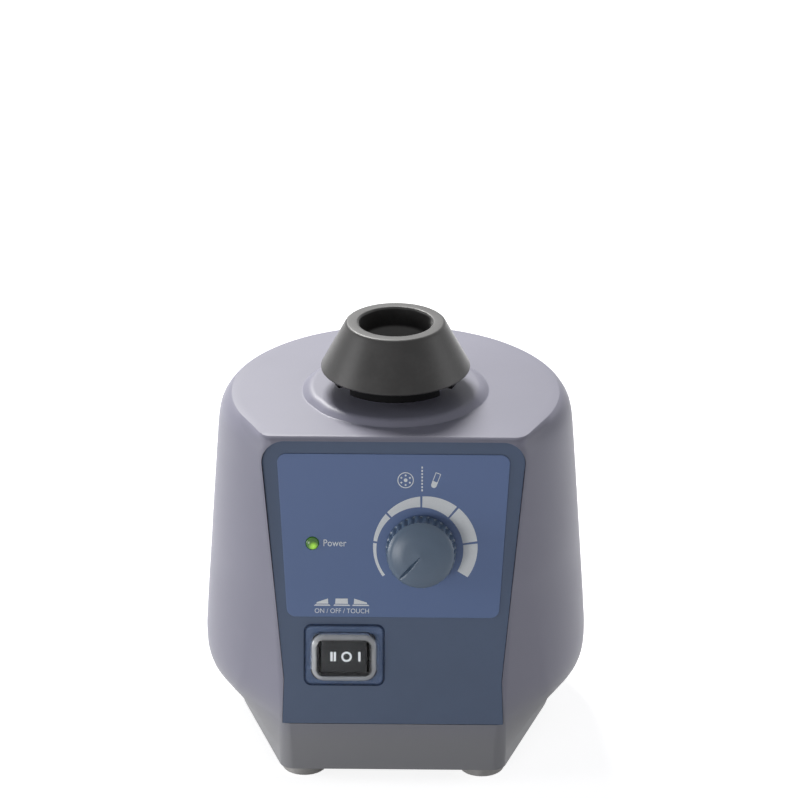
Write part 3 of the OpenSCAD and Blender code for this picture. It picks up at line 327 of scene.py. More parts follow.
def moulded(name, base, roughness=0.45, grain=0.35, relief=0.012, drift=0.05, **constants):
    """Moulded plastic with a spark-eroded grain."""
    finish = Finish(name, base, roughness, **constants)
    finish.mottle(14.0, drift)
    speck = finish.noise(grain, 2.0, 0.6)
    finish.set("Roughness", speck * 0.14 + (roughness - 0.07))
    finish.bump(speck, relief)
    return finish.material


def sprayed(name, base, roughness=0.42):
    """Satin spray paint: fine peel, a drift of tone, a little dust in the grain, and greyer low down."""
    finish = Finish(name, base, roughness, specular_ior_level=0.34)
    drift = finish.noise(30.0, 3.0)
    speck = finish.noise(0.32, 3.0, 0.65)
    height = finish.axes()[2] / MM
    grey = (base[0] * 1.14, base[1] * 1.155, base[2] * 0.97)
    blue = finish.mix(drift, shade(base, 0.94), shade(base, 1.07))
    tone = finish.mix(height.fade(12.0, 31.0), grey, blue)
    finish.set("Base Color", finish.mix(speck.above(0.66) * 0.12, tone, shade(base, 0.8)))
    finish.set("Roughness", speck * 0.16 + drift * 0.06 + (roughness - 0.11))
    peel = finish.bump(finish.noise(2.6, 2.0), 0.010, 0.6)
    finish.bump(speck, 0.011, 0.8, peel)
    return finish.material


def moulded_rubber(name, base, roughness=0.62, bloom_weight=0.1):
    """Moulded rubber with a faint bloom and tiny pits."""
    finish = Finish(name, base, roughness, specular_ior_level=0.42, sheen_weight=bloom_weight,
                    sheen_roughness=0.35)
    bloom = finish.noise(9.0, 4.0, 0.6)
    pale = tuple(c * 1.35 + 0.006 for c in base)
    finish.set("Base Color", finish.mix(bloom.fade(0.42, 0.75), base, pale))
    pits = finish.noise(0.45, 3.0, 0.7)
    finish.set("Roughness", pits * 0.18 + bloom * 0.08 + (roughness - 0.12))
    finish.bump(pits, 0.018)
    return finish.material


def worked_metal(name, base, roughness=0.28, stretch=(1, 1, 1), grain=0.6, relief=0.004):
    """Metal with the marks of its machining drawn out along one way."""
    finish = Finish(name, base, roughness, metallic=1.0)
    marks = finish.noise(grain, 3.0, 0.6, stretch)
    drift = finish.noise(8.0, 2.0)
    finish.set("Base Color", finish.mix(marks * 0.6 + drift * 0.4, shade(base, 0.82), shade(base, 1.1)))
    finish.set("Roughness", marks * 0.2 + (roughness - 0.1))
    finish.bump(marks, relief)
    return finish.material


def cast_metal(name, base, roughness=0.5):
    finish = Finish(name, base, roughness, metallic=0.4)
    skin = finish.noise(1.1, 4.0, 0.7)
    finish.mottle(7.0, 0.14)
    finish.set("Roughness", skin * 0.25 + (roughness - 0.12))
    finish.bump(skin, 0.05)
    return finish.material


def sheet_stack(name, base):
    """Stacked steel sheets, half a millimetre each, with a bluish oxide."""
    finish = Finish(name, base, 0.4, metallic=0.9)
    edge = (finish.axes()[2] * (1.0 / (0.5 * MM))).maths("FRACT")
    gap = (edge - 0.5).maths("ABSOLUTE").fade(0.34, 0.5)
    drift = finish.noise(5.0, 3.0)
    tone = finish.mix(drift, shade(base, 0.75), (base[0], base[1] * 1.05, base[2] * 1.2))
    finish.set("Base Color", finish.mix(gap * 0.7, tone, (0.03, 0.028, 0.026)))
    finish.bump(1.0 - gap, 0.05)
    return finish.material


def wound_wire(name, base):
    """Close turns of enamelled wire under varnish, with painted shade in the creases between the turns and a
    painted highlight on their crowns.
    """
    finish = Finish(name, base, 0.28, metallic=0.55, coat_weight=0.5, coat_roughness=0.15)
    # Painted shade and highlight: the colour runs from dark in the creases between turns to light on their
    # crowns.
    turn = (finish.axes()[1] * (math.pi * 2 / (0.55 * MM))).maths("SINE") * 0.5 + 0.5
    sway = finish.noise(3.0, 2.0)
    finish.set("Base Color", finish.mix(turn * 0.75 + sway * 0.25, shade(base, 0.35), shade(base, 1.15)))
    finish.bump(turn, 0.12)
    return finish.material


def circuit_board(name, base):
    """Solder-resist green with tracks showing through."""
    finish = Finish(name, base, 0.32)
    cells = finish.node("ShaderNodeTexVoronoi", {"feature": "DISTANCE_TO_EDGE", "distance": "MANHATTAN"}, {
        "Vector": finish.place, "Scale": 210.0, "Randomness": 0.35}, out="Distance")
    track = 1.0 - cells.fade(0.05, 0.09)
    finish.set("Base Color", finish.mix(track * 0.7, base, shade(base, 1.9)))
    finish.bump(track, 0.03)
    return finish.material


def clear_silicone(name):
    """Soft clear moulding over the switch: clear on top, with a painted sheen on its bent sides and a painted
    shadow at its rim.
    """
    finish = Finish(name, (0.93, 0.95, 0.96), 0.08, transmission_weight=1.0, ior=1.16)
    middle = Vector(on_panel(*SWITCH_AT))
    slope = Vector(on_panel(SWITCH_AT[0], SWITCH_AT[1] + 1.0)) - middle
    facing = Vector(on_panel(*SWITCH_AT, 1.0)) - middle
    across, back, up = (axis / MM - start for axis, start in zip(finish.axes(), middle))
    u = across.maths("ABSOLUTE")
    v = (back * slope.y + up * slope.z).maths("ABSOLUTE")
    out = back * facing.y + up * facing.z

    def reach(width, height, corner):
        """Distance from the middle of the rounded corner's circle, in both ways past its straight sides."""
        x = (u - width / 2 + corner).maths("MAXIMUM", 0.0)
        y = (v - height / 2 + corner).maths("MAXIMUM", 0.0)
        return (x * x + y * y).maths("SQRT")

    bend = reach(BOOT_WIDTH, BOOT_HEIGHT, BOOT_CORNER)
    rim = reach(FLANGE_WIDTH, FLANGE_HEIGHT, FLANGE_CORNER)
    cloud = finish.noise(3.5, 3.0)
    tone = finish.mix(cloud, (0.90, 0.92, 0.94), (0.98, 0.99, 1.0))
    tone = finish.mix(bend.fade(4.4, 5.0), tone, (0.70, 0.73, 0.78))
    # Painted shadow: the outer edge of the flange is darkened where the gap round it lies in shade.
    finish.set("Base Color", finish.mix(rim.fade(1.5, 2.3), tone, (0.20, 0.24, 0.31)))
    finish.set("Roughness", cloud * 0.08 + 0.02)
    finish.bump(cloud, 0.03, 0.4)
    # Painted sheen: a pale grey shader mixed onto the bent sides stands in for their bright reflections.
    painted_sheen = finish.node("ShaderNodeBsdfPrincipled", None, {
        "Base Color": (0.40, 0.41, 0.425, 1.0), "Roughness": 0.2, "Specular IOR Level": 0.9})
    side = bend.fade(2.2, 3.1) * (1.0 - bend.fade(3.7, 4.6)) * out.fade(1.8, 3.4) * (cloud * 0.3 + 0.5)
    clear = Wire(finish, finish.shader.outputs[0])
    body = finish.node("ShaderNodeMixShader", None, {0: side, 1: clear, 2: painted_sheen})
    passed = finish.node("ShaderNodeBsdfTransparent", None, {"Color": (0.93, 0.94, 0.95)})
    shadow, = finish.light_path("Is Shadow Ray")
    both = finish.node("ShaderNodeMixShader", None, {0: shadow, 1: body, 2: passed})
    finish.tree.links.new(both.socket, finish.output.inputs["Surface"])
    return finish.material


def lamp_lens(name, base):
    """Tinted lens with a brighter die low in the middle."""
    finish = Finish(name, base, 0.16, specular_ior_level=0.6)
    middle = tuple(c * MM for c in on_panel(*LAMP_DIE_AT, 1.0))
    spread = finish.node("ShaderNodeVectorMath", {"operation": "DISTANCE"}, {
        0: finish.place, 1: middle}, out="Value")
    near = 1.0 - (spread / MM).fade(0.2, 1.9)
    glow = finish.mix(near, (0.035, 0.13, 0.008), (0.42, 0.85, 0.06))
    finish.set("Base Color", glow)
    finish.set("Emission Color", glow)
    finish.set("Emission Strength", 0.35)
    finish.bump(finish.noise(0.9, 1.0), 0.01, 0.4)
    return finish.material


def printed(name, base, roughness=0.5):
    """Screen-printed ink with a fine edge of mesh marks."""
    finish = Finish(name, base, roughness)
    mesh_marks = finish.noise(0.22, 2.0)
    finish.set("Base Color", finish.mix(mesh_marks, shade(base, 0.9), shade(base, 1.08)))
    finish.bump(mesh_marks, 0.004)
    return finish.material


def overlay_sheet(name, base):
    """Back-printed film with a velvet face: lighter at the top, where it faces the lamps."""
    finish = Finish(name, base, 0.36)
    height = finish.axes()[2] / MM
    lit = (base[0] * 1.06, base[1] * 1.02, base[2] * 1.02)
    tone = finish.mix(height.fade(55.0, 112.0), shade(base, 0.95), lit)
    drift = finish.noise(22.0, 2.0)
    finish.set("Base Color", finish.mix(drift * 0.22, tone, shade(base, 0.86)))
    velvet = finish.noise(0.24, 2.0, 0.6)
    finish.set("Roughness", velvet * 0.12 + 0.30)
    finish.bump(velvet, 0.008)
    return finish.material


def in_scene(name, data):
    """A new object in the scene."""
    made = bpy.data.objects.new(name, data)
    bpy.context.scene.collection.objects.link(made)
    return made


class Growth(Graph):
    """A geometry node group with named inputs; its lengths are millimetres."""

    def __init__(self, name, **inputs):
        super().__init__(bpy.data.node_groups.new(name, "GeometryNodeTree"))
        self.tree.interface.new_socket("Geometry", in_out="OUTPUT", socket_type="NodeSocketGeometry")
        self.tree.interface.new_socket("Geometry", in_out="INPUT", socket_type="NodeSocketGeometry")
        self.values = inputs
        kinds = {float: "NodeSocketFloat", bpy.types.Material: "NodeSocketMaterial",
                 bpy.types.Object: "NodeSocketObject"}
        for label, value in inputs.items():
            self.tree.interface.new_socket(label, in_out="INPUT", socket_type=kinds[type(value)])
        self.entry = self.tree.nodes.new("NodeGroupInput")

    def given(self, label="Geometry"):
        return Wire(self, self.entry.outputs[label])

    def repeated(self, instance):
        """The instance set on each point, as one plain mesh."""
        placed = self.node("GeometryNodeInstanceOnPoints", None, {
            "Points": self.given(), "Instance": instance})
        return self.node("GeometryNodeRealizeInstances", None, {"Geometry": placed})

    def tube(self, curve, radius, sides):
        circle = self.node("GeometryNodeCurvePrimitiveCircle", {"mode": "RADIUS"},
                           {"Resolution": sides, "Radius": radius})
        return self.node("GeometryNodeCurveToMesh", None, {
            "Curve": curve, "Profile Curve": circle, "Fill Caps": True})

    def grow(self, name, result, points, faces, matrix):
        """Runs the group on a mesh of points and faces, and keeps the plain result."""
        painted = self.node("GeometryNodeSetMaterial", None, {
            "Geometry": result, "Material": self.given("Material")})
        leave = self.tree.nodes.new("NodeGroupOutput")
        self.tree.links.new(painted.socket, leave.inputs[0])
        mesh = bpy.data.meshes.new(name)
        mesh.from_pydata(points, [], faces)
        made = in_scene(name, mesh)
        step = made.modifiers.new("growth", "NODES")
        step.node_group = self.tree
        for socket in self.tree.interface.items_tree:
            if socket.name in self.values and socket.in_out == "INPUT":
                step[socket.identifier] = self.values[socket.name]
        baked(made)
        made.data.transform(matrix)
        tidy_mesh(made)
        return made


# ---------- mesh helpers ----------


def new_piece(name, points, faces, matrix, material, smooth=True):
    """Mesh from points in millimetres, with its place in its vertices."""
    mesh = bpy.data.meshes.new(name)
    mesh.from_pydata([matrix @ Vector(p) for p in points], [], faces)
    mesh.materials.append(material)
    made = in_scene(name, mesh)
    tidy_mesh(made, smooth)
    return made


def smoothed(made, sharp=SHARP):
    """Smooth faces, with hard edges where the surface really turns."""
    made.data.shade_smooth()
    made.data.set_sharp_from_angle(angle=sharp)


def tidy_mesh(made, smooth=True):
    """Outward faces on a mesh without double points, smooth unless it is a flat piece."""
    shape = bmesh.new()
    shape.from_mesh(made.data)
    bmesh.ops.remove_doubles(shape, verts=shape.verts, dist=0.2e-6)
    bmesh.ops.recalc_face_normals(shape, faces=shape.faces)
    shape.to_mesh(made.data)
    shape.free()
    if smooth:
        smoothed(made)
    made.data.update()


def baked(made):
    """Works an object's modifiers into its mesh."""
    evaluated = made.evaluated_get(bpy.context.evaluated_depsgraph_get())
    mesh = bpy.data.meshes.new_from_object(evaluated)
    made.modifiers.clear()
    old = made.data
    made.data = mesh
    bpy.data.meshes.remove(old)
    mesh.name = made.name


def ring_skin(rings, closed=False):
    """Faces of a skin through rings of the same number of points."""
    n, loops = len(rings[0]), len(rings)
    faces = []
    for i in range(loops if closed else loops - 1):
        a, b = i * n, ((i + 1) % loops) * n
        faces += [(a + k, a + (k + 1) % n, b + (k + 1) % n, b + k) for k in range(n)]
    if not closed:
        faces.append(tuple(reversed(range(n))))
        faces.append(tuple(range((loops - 1) * n, loops * n)))
    return [p for ring in rings for p in ring], faces


def turned(profile, steps=128):
    """Points and faces of a profile of (radius, height) turned about Z. Ends on the axis are closed."""
    angles = [2 * math.pi * k / steps for k in range(steps)]
    rings = [[(r * math.cos(a), r * math.sin(a), height) for a in angles] for r, height in profile]
    closed = profile[0][0] > 0.01 and profile[-1][0] > 0.01
    return ring_skin(rings, closed=closed)


def rounded(points, radius, steps=5):
    """A polyline of (a, b) with its inner corners rounded. A point may carry its own radius."""
    found = [tuple(points[0][:2])]
    for before, here, after in zip(points, points[1:], points[2:]):
        own = here[2] if len(here) > 2 else radius
        p0, p1, p2 = (Vector(p[:2]) for p in (before, here, after))
        one, two = (p0 - p1), (p2 - p1)
        reach = min(own, one.length * 0.48, two.length * 0.48)
        if reach < 0.005:
            found.append(tuple(p1))
            continue
        start, stop = p1 + one.normalized() * reach, p1 + two.normalized() * reach
        for t in (k / steps for k in range(steps + 1)):
            found.append(tuple(start * (1 - t) ** 2 + p1 * 2 * t * (1 - t) + stop * t ** 2))
    found.append(tuple(points[-1][:2]))
    return found


def rounded_rectangle(width, height, radius, steps=8):
    points = []
    for cx, cy, start in ((1, 1, 0), (-1, 1, 90), (-1, -1, 180), (1, -1, 270)):
        for k in range(steps + 1):
            a = math.radians(start + 90 * k / steps)
            points.append((cx * (width / 2 - radius) + radius * math.cos(a),
                           cy * (height / 2 - radius) + radius * math.sin(a)))
    return points


def shrunk(outline, inset):
    """A convex outline moved inwards along its corner normals."""
    found, n = [], len(outline)
    for k, p in enumerate(outline):
        before, after = Vector(outline[k - 1]), Vector(outline[(k + 1) % n])
        here = Vector(p)
        one, two = (here - before), (after - here)
        one = one.normalized() if one.length > 1e-9 else two.normalized()
        two = two.normalized() if two.length > 1e-9 else one
        normal = Vector((one.y + two.y, -one.x - two.x)).normalized()
        lean = max(0.3, normal.dot(Vector((one.y, -one.x))))
        found.append(tuple(here - normal * (inset / lean)))
    return found


def stacked(outline, levels):
    """Points and faces of a solid whose outline is drawn in by each level's inset at its height."""
    rings = [[(x, y, height) for x, y in shrunk(outline, inset)] for inset, height in levels]
    return ring_skin(rings)


def edge_levels(low, high, radius, steps):
    """Levels of a block with a rounded upper edge."""
    bend = [math.pi / 2 * k / steps for k in range(steps + 1)]
    return [(0.0, low)] + [(radius * (1 - math.cos(a)), high - radius * (1 - math.sin(a))) for a in bend]


def finished(piece, body, slot, *nodes):
    """Rides on its body and stands for the solids; the slot is not used."""
    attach(piece, body)
    if nodes:
        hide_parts(*nodes)


def joined(name, pieces):
    """Several closed pieces as one object."""
    shape = bmesh.new()
    material = pieces[0].data.materials[0]
    for piece in pieces:
        shape.from_mesh(piece.data)
    mesh = bpy.data.meshes.new(name)
    shape.to_mesh(mesh)
    shape.free()
    mesh.materials.append(material)
    for piece in pieces:
        bpy.data.objects.remove(piece)
    mesh.set_sharp_from_angle(angle=SHARP)
    return in_scene(name, mesh)


def cut(piece, other, operation="DIFFERENCE"):
    """Takes the other solid out of the piece, or joins it on."""
    step = piece.modifiers.new("cut", "BOOLEAN")
    step.operation, step.solver, step.object = operation, "EXACT", other
    baked(piece)
    bpy.data.objects.remove(other)


# ---------- the body ----------


def through(points, at):
    """Monotone cubic through (place, value) points."""
    n = len(points)
    slopes = [(points[i + 1][1] - points[i][1]) / (points[i + 1][0] - points[i][0]) for i in range(n - 1)]
    tangents = [slopes[0]]
    for i in range(1, n - 1):
        a, b = slopes[i - 1], slopes[i]
        tangents.append(0.0 if a * b <= 0 else 2 * a * b / (a + b))
    tangents.append(slopes[-1])
    i = min(n - 2, max(0, sum(1 for p in points[1:-1] if p[0] <= at)))
    (x0, y0), (x1, y1) = points[i], points[i + 1]
    h = x1 - x0
    t = (at - x0) / h
    return ((2 * t ** 3 - 3 * t * t + 1) * y0 + (t ** 3 - 2 * t * t + t) * h * tangents[i]
            + (3 * t * t - 2 * t ** 3) * y1 + (t ** 3 - t * t) * h * tangents[i + 1])


FOOT_RUN = (1.5, 15.0)
FOOT_HALF = 36.76
LEDGE = 3.5
BACK_STEPS, CORNER_STEPS, FRONT_STEPS = 96, 8, 10
PANEL_GAP = 0.15
FRONT_EDGE = 1.2
FRONT_STEP = 4.9
IN_THE_WALL = 1.3

# (height, radius) of the round back: the band at the foot, then the sides up to the flat top
BAND = [(5.0, 53.4), (10.0, 54.7)]
SIDES = [(10.0, 54.7), (12.8, 57.378), (18.0, 61.498), (22.4, 64.279), (25.6, 64.85), (30.0, 65.0),
         (36.0, 64.7), (60.0, 63.08), (84.0, 61.42), (100.0, 60.27), (108.0, 59.62), (112.05, 58.87),
         (114.75, 57.49), (116.28, 56.2), (117.0, 55.1)]

# heights at which the skin has a ring of points
OUTSIDE_LEVELS = (10.05, 10.6, 11.6, 12.8, 14.4, 16.2, 18, 19.8, 21.4, 22.8, 24.2, 25.6, 27.4, 29.4, 31.6,
                  34, 37, 42, 54, 66, 78, 90, 100, 104, 107, 109, 110.6, 112, 113.2, 114.2, 115, 115.7,
                  116.2, 116.6, 116.86)
INSIDE_LEVELS = (112.6, 110, 107, 96, 72, 48, 36, 30, 25.6, 22.4, 18, 12.8, 10.2)


def body_outline(radius, half, reach, corner):
    """Plan of the body: a round back, a flat front and rounded upright corners."""
    cy = corner - reach
    cx = max(half - corner, math.sqrt(max(0.0, (radius - corner) ** 2 - cy ** 2)))
    lean = math.atan2(cy, cx) + math.acos(min(1.0, (radius - corner) / math.hypot(cx, cy)))

    def bend(x, start, stop):
        angles = [start + (stop - start) * k / CORNER_STEPS for k in range(CORNER_STEPS + 1)]
        return [(x + corner * math.cos(a), cy + corner * math.sin(a)) for a in angles]

    back = [lean + (math.pi - 2 * lean) * k / BACK_STEPS for k in range(1, BACK_STEPS)]
    return (bend(cx, -math.pi / 2, lean) + [(radius * math.cos(a), radius * math.sin(a)) for a in back]
            + bend(-cx, math.pi - lean, math.pi * 1.5)
            + [(-cx + 2 * cx * k / FRONT_STEPS, -reach) for k in range(1, FRONT_STEPS)])


def body_level(s, z, radius, inwards=0.0, front_in=0.0):
    """The body's plan at one height, as a ring."""
    reach = s["front_top"] + (s["top_height"] - z) * math.tan(s["front_lean"]) - front_in
    share = (z - s["foot_height"]) / (s["top_height"] - s["foot_height"])
    half = s["half_foot"] + (s["half_top"] - s["half_foot"]) * share
    corner = max(1.0, s["corner"] - inwards)
    return [(x, y, z) for x, y in body_outline(radius - inwards, half - inwards, reach - inwards, corner)]


def to_circle(outline, radius, z, share=1.0):
    """The outline drawn towards a circle, point for point."""
    points = []
    for x, y, _ in outline:
        a = math.atan2(y, x)
        points.append((x + (radius * math.cos(a) - x) * share, y + (radius * math.sin(a) - y) * share, z))
    return points


def panel_half(p, v):
    """Half width of the panel at a height up its slope."""
    return p["half_foot"] + p["flare"] * v


def pocket_outline(p, grow):
    """Outline of the panel's recess, whose sides stand upright near the foot."""
    top, rise, r = panel_half(p, p["length"]) + grow, p["length"] + grow, p["corner"]
    foot, (low, high) = FOOT_HALF + grow, FOOT_RUN
    points = [(-foot, -grow), (foot, -grow), (foot, low), (panel_half(p, high) + grow, high)]
    points += [(top - r + r * math.cos(a), rise - r + r * math.sin(a))
               for a in (math.radians(90 * k / 12) for k in range(13))]
    return points + [(-u, v) for u, v in reversed(points[2:])]


def upright_foot(p):
    """Moves the corners at the panel's foot so that its sides run gently into the flare."""
    lay = panel_frame(0, 0)
    back = lay.inverted()

    def moved(point):
        u, v, out = back @ point
        if abs(u) < 35 or not 5.5 < v < 8:
            return point
        there = FOOT_RUN[0] if v < 6.8 else FOOT_RUN[1]
        u += math.copysign(p["flare"] * (there - v), u) if v > 6.8 else 0.0
        return lay @ Vector((u, there, out))

    return moved


def window_outline(p):
    """Outline of the hole behind the panel, inside the ledge that carries it."""
    low, high, chamfer = 7.5, p["length"] - LEDGE, 6
    foot, top = panel_half(p, low) - LEDGE, panel_half(p, high) - LEDGE
    right = [(foot, low), (top, high - chamfer), (top - chamfer, high)]
    return right + [(-u, v) for u, v in reversed(right)]


def slab(name, outline, low, high, matrix, material):
    """A flat solid of any outline."""
    n = len(outline)
    points = [(x, y, low) for x, y in outline] + [(x, y, high) for x, y in outline]
    faces = [tuple(reversed(range(n))), tuple(range(n, 2 * n))]
    faces += [(k, (k + 1) % n, n + (k + 1) % n, n + k) for k in range(n)]
    return new_piece(name, points, faces, matrix, material, smooth=False)


def block(name, low, high, matrix, material):
    (x0, y0, z0), (x1, y1, z1) = low, high
    return slab(name, [(x0, y0), (x1, y0), (x1, y1), (x0, y1)], z0, z1, matrix, material)


def round_edges(shape, width, steps, profile, least, keep=lambda ends, normals: True):
    """Rounds the edges that turn by more than the least angle and that keep() picks by ends and normals."""
    picked = [e for e in shape.edges if len(e.link_faces) == 2
              and e.calc_face_angle(0.0) > math.radians(least)
              and keep([v.co / MM for v in e.verts], [f.normal for f in e.link_faces])]
    bmesh.ops.bevel(shape, geom=picked, offset=width * MM, offset_type="OFFSET", segments=steps,
                    profile=profile, affect="EDGES", clamp_overlap=True)


def soften(piece, width, keep, steps):
    """Rounds the edges of a made piece that keep() picks."""
    shape = bmesh.new()
    shape.from_mesh(piece.data)
    round_edges(shape, width, steps, 0.6, 30, keep)
    shape.to_mesh(piece.data)
    shape.free()
    smoothed(piece)


def even_shading(piece, sharp=SHARP):
    """Flat faces keep flat light on them, and the roundings turn it."""
    smoothed(piece, sharp)
    step = piece.modifiers.new("light", "WEIGHTED_NORMAL")
    step.mode, step.weight, step.keep_sharp = "FACE_AREA", 100, True
    baked(piece)


class MIXER_OT_body(bpy.types.Operator):
    """Make the painted shell with its recess, boss and collar"""

    bl_idname = "mixer.body"
    bl_label = "Body"
    bl_options = {"REGISTER", "UNDO"}

    def execute(self, context):
        s, p = sizes("mixer_body"), sizes("mixer_panel")
        paint = sprayed("Blue-grey paint", paint_colour("body"), 0.44)
        top, wall = s["top_height"], s["wall"]
        rings = self.outside(s)
        last = rings[-1]
        rings += [to_circle(last, s["boss"] + 0.5, top, share) for share in (0.12, 0.5, 0.9, 0.985)]
        swell, collar = top + s["boss_height"], s["neck"] + 1.8
        boss = rounded([(s["boss"] + 0.5, top), (s["boss"] - 0.1, top, 1.2), (s["boss"] - 2.5, swell, 1.5),
                        (collar, swell), (collar, swell + 1.4), (s["neck"], swell + 1.4),
                        (s["neck"], top - wall)], 0.7, 5)
        rings += [to_circle(last, radius, z) for radius, z in boss]
        inner = body_level(s, top - wall, SIDES[-1][1], wall, FRONT_EDGE + FRONT_STEP)
        rings += [to_circle(inner, s["neck"] + 4, top - wall, share) for share in (1.0, 0.1)]
        rings += [body_level(s, z, through(SIDES, z), wall, FRONT_STEP) for z in INSIDE_LEVELS]
        rings += [body_level(s, z, through(BAND, z), wall, 0.4) for z in (10.0, 7.5, 5.0)]
        shell = new_piece("body_shell", *ring_skin(rings, closed=True), ON_AXIS, paint)

        lay = panel_frame(0, 0)
        cut(shell, slab("pocket", pocket_outline(p, PANEL_GAP), -p["thickness"], 20, lay, paint))
        cut(shell, slab("window", window_outline(p), -20, 10, lay, paint))
        cut(shell, self.inlet_pad(paint), "UNION")
        for x, y in BASE_SCREWS:
            for piece in self.column(paint, x, y):
                cut(shell, piece, "UNION")
            bore = turned([(0.02, 12), (1.6, 12), (1.6, 26.4), (0.02, 26.4)], 24)
            cut(shell, new_piece("bore", *bore, ON_AXIS @ Matrix.Translation((x, y, 0)), paint))
        cut(shell, block("inlet_recess", (-15.65, 60, 21.3), (15.65, 80, 63.6), ON_AXIS, paint))
        cut(shell, block("inlet_opening", (-13.65, 40, 26.05), (13.65, 80, 58.85), ON_AXIS, paint))

        slope = Vector((0, -math.cos(s["front_lean"]), math.sin(s["front_lean"])))

        def on_the_lip(ends, normals):
            return any(n.dot(slope) > 0.995 for n in normals) and all(
                z > 20.0 and y < -25 for _, y, z in ends)

        soften(shell, s["lip"], on_the_lip, 4)
        soften(shell, 0.5, lambda ends, normals: all(y > 50 and z > 15 for _, y, z in ends), 3)
        even_shading(shell)
        finished(shell, "chassis", "blue_grey_paint", "housing")
        return {"FINISHED"}

    def outside(self, s):
        """Rings of the outer skin, from the foot to the flat top."""
        rings = [body_level(s, z, through(BAND, z)) for z in (5.0, 6.25, 7.5, 8.75, 10.0)]
        for z in OUTSIDE_LEVELS:
            edge = max(0.0, (z - 115.4) / 1.6)
            rings.append(body_level(s, z, through(SIDES, z), 0.0, FRONT_EDGE * edge ** 2.2))
        rings.append(body_level(s, s["top_height"], SIDES[-1][1], 0.0, FRONT_EDGE))
        return rings

    def inlet_pad(self, paint):
        """The thicker piece of wall behind the mains socket, flat inside."""
        half, face, rings = 18.5, 57.3, []
        for z in (18.5, 19.5, 21, 23, 25.6, 30, 36, 48, 60, 66.4):
            radius = through(SIDES, z) - IN_THE_WALL
            lean = math.acos(half / radius)
            back = [lean + (math.pi - 2 * lean) * k / 12 for k in range(13)]
            rings.append([(-half, face, z), (half, face, z)]
                         + [(radius * math.cos(a), radius * math.sin(a), z) for a in back])
        return new_piece("inlet_pad", *ring_skin(rings), ON_AXIS, paint, smooth=False)

    def column(self, paint, x, y):
        """A column for a base screw, and the web that ties it to the wall."""
        post = turned([(0.02, 13.4), (4.4, 13.4), (4.4, 29.0), (4.0, 29.4), (0.02, 29.4)], 40)
        wall = [(through(SIDES, z) - IN_THE_WALL, z) for z in (14.0, 17.5, 21.2, 24.8, 28.3)]
        start = math.hypot(x, y) + 2
        lay = ON_AXIS @ Matrix.Rotation(math.atan2(y, x), 4, "Z") @ Matrix.Rotation(math.pi / 2, 4, "X")
        return (new_piece("column", *post, ON_AXIS @ Matrix.Translation((x, y, 0)), paint),
                slab("web", [(start, wall[0][1])] + wall + [(start, wall[-1][1])], -1.2, 1.2, lay, paint))


# ---------- panel, overlay and prints ----------


def refined(node, name, body, slot, material, width, steps=2, moved=None):
    """A CAD solid with its flat faces made whole, its corners moved if asked and its edges rounded."""
    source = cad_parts[node]
    shape = bmesh.new()
    shape.from_mesh(source.data)
    bmesh.ops.transform(shape, matrix=source.matrix_world, verts=shape.verts)
    bmesh.ops.remove_doubles(shape, verts=shape.verts, dist=1e-6)
    bmesh.ops.dissolve_limit(shape, angle_limit=math.radians(0.5), verts=shape.verts, edges=shape.edges)
    bmesh.ops.recalc_face_normals(shape, faces=shape.faces)
    for v in shape.verts if moved else ():
        v.co = moved(v.co)
    round_edges(shape, width, steps, 0.55, 34)
    mesh = bpy.data.meshes.new(name)
    shape.to_mesh(mesh)
    shape.free()
    mesh.materials.append(material)
    made = in_scene(name, mesh)
    even_shading(made, math.radians(40))
    finished(made, body, slot, node)


def lettering(name, words, width, height, at, low, high, material):
    """Flat raised words, scaled to a width and height, lying on the panel at their lower left corner."""
    curve = bpy.data.curves.new(name, "FONT")
    curve.body = words
    curve.extrude = 0.5
    curve.resolution_u = 4
    holder = in_scene(name, curve)
    mesh = bpy.data.meshes.new_from_object(holder.evaluated_get(bpy.context.evaluated_depsgraph_get()))
    bpy.data.objects.remove(holder)
    low_x, high_x = min(v.co.x for v in mesh.vertices), max(v.co.x for v in mesh.vertices)
    low_y, high_y = min(v.co.y for v in mesh.vertices), max(v.co.y for v in mesh.vertices)
    place = panel_frame(*at)
    for v in mesh.vertices:
        x = (v.co.x - low_x) / (high_x - low_x) * width
        y = (v.co.y - low_y) / (high_y - low_y) * height
        z = low + (v.co.z + 0.5) * (high - low)
        v.co = place @ Vector((x, y, z))
    mesh.materials.clear()
    mesh.materials.append(material)
    made = in_scene(name, mesh)
    tidy_mesh(made, smooth=False)
    return made


def arc_strip(centre, outer, inner, start, stop, steps=24):
    """Outline of a strip between two circles, seen from a middle, each given as (u, v, radius)."""
    def hit(circle, a):
        dx, dy = math.cos(a), math.sin(a)
        ex, ey = circle[0] - centre[0], circle[1] - centre[1]
        b = ex * dx + ey * dy
        t = b + math.sqrt(max(0.0, b * b - ex * ex - ey * ey + circle[2] ** 2))
        return (centre[0] + t * dx, centre[1] + t * dy)

    angles = [math.radians(start + (stop - start) * k / steps) for k in range(steps + 1)]
    return [hit(outer, a) for a in angles] + [hit(inner, a) for a in reversed(angles)]


def washer_outline(u, v, outer, inner):
    return arc_strip((u, v), (u, v, outer), (u, v, inner), 0.0, 359.5, 40)


def disc_outline(u, v, radius):
    angles = [2 * math.pi * k / 20 for k in range(20)]
    return [(u + radius * math.cos(a), v + radius * math.sin(a)) for a in angles]


def stroke(start, stop, width):
    """Outline of a straight line of a width."""
    a, b = Vector(start), Vector(stop)
    side = (b - a).orthogonal().normalized() * (width / 2)
    return [tuple(a + side), tuple(a - side), tuple(b - side), tuple(b + side)]


def dial_signs(p):
    """Six strips round the knob that widen as the speed rises."""
    outer, inner = (10.6, 60.8, p["dial_radius"]), (8.8, 60.0, 14.4)
    strips = ((216, 172.2), (169.8, 134.2), (131.8, 91.2), (88.8, 51.2), (48.8, 9.2), (6.8, -31))
    return [arc_strip(KNOB_AT, outer, inner, start, stop) for start, stop in strips]


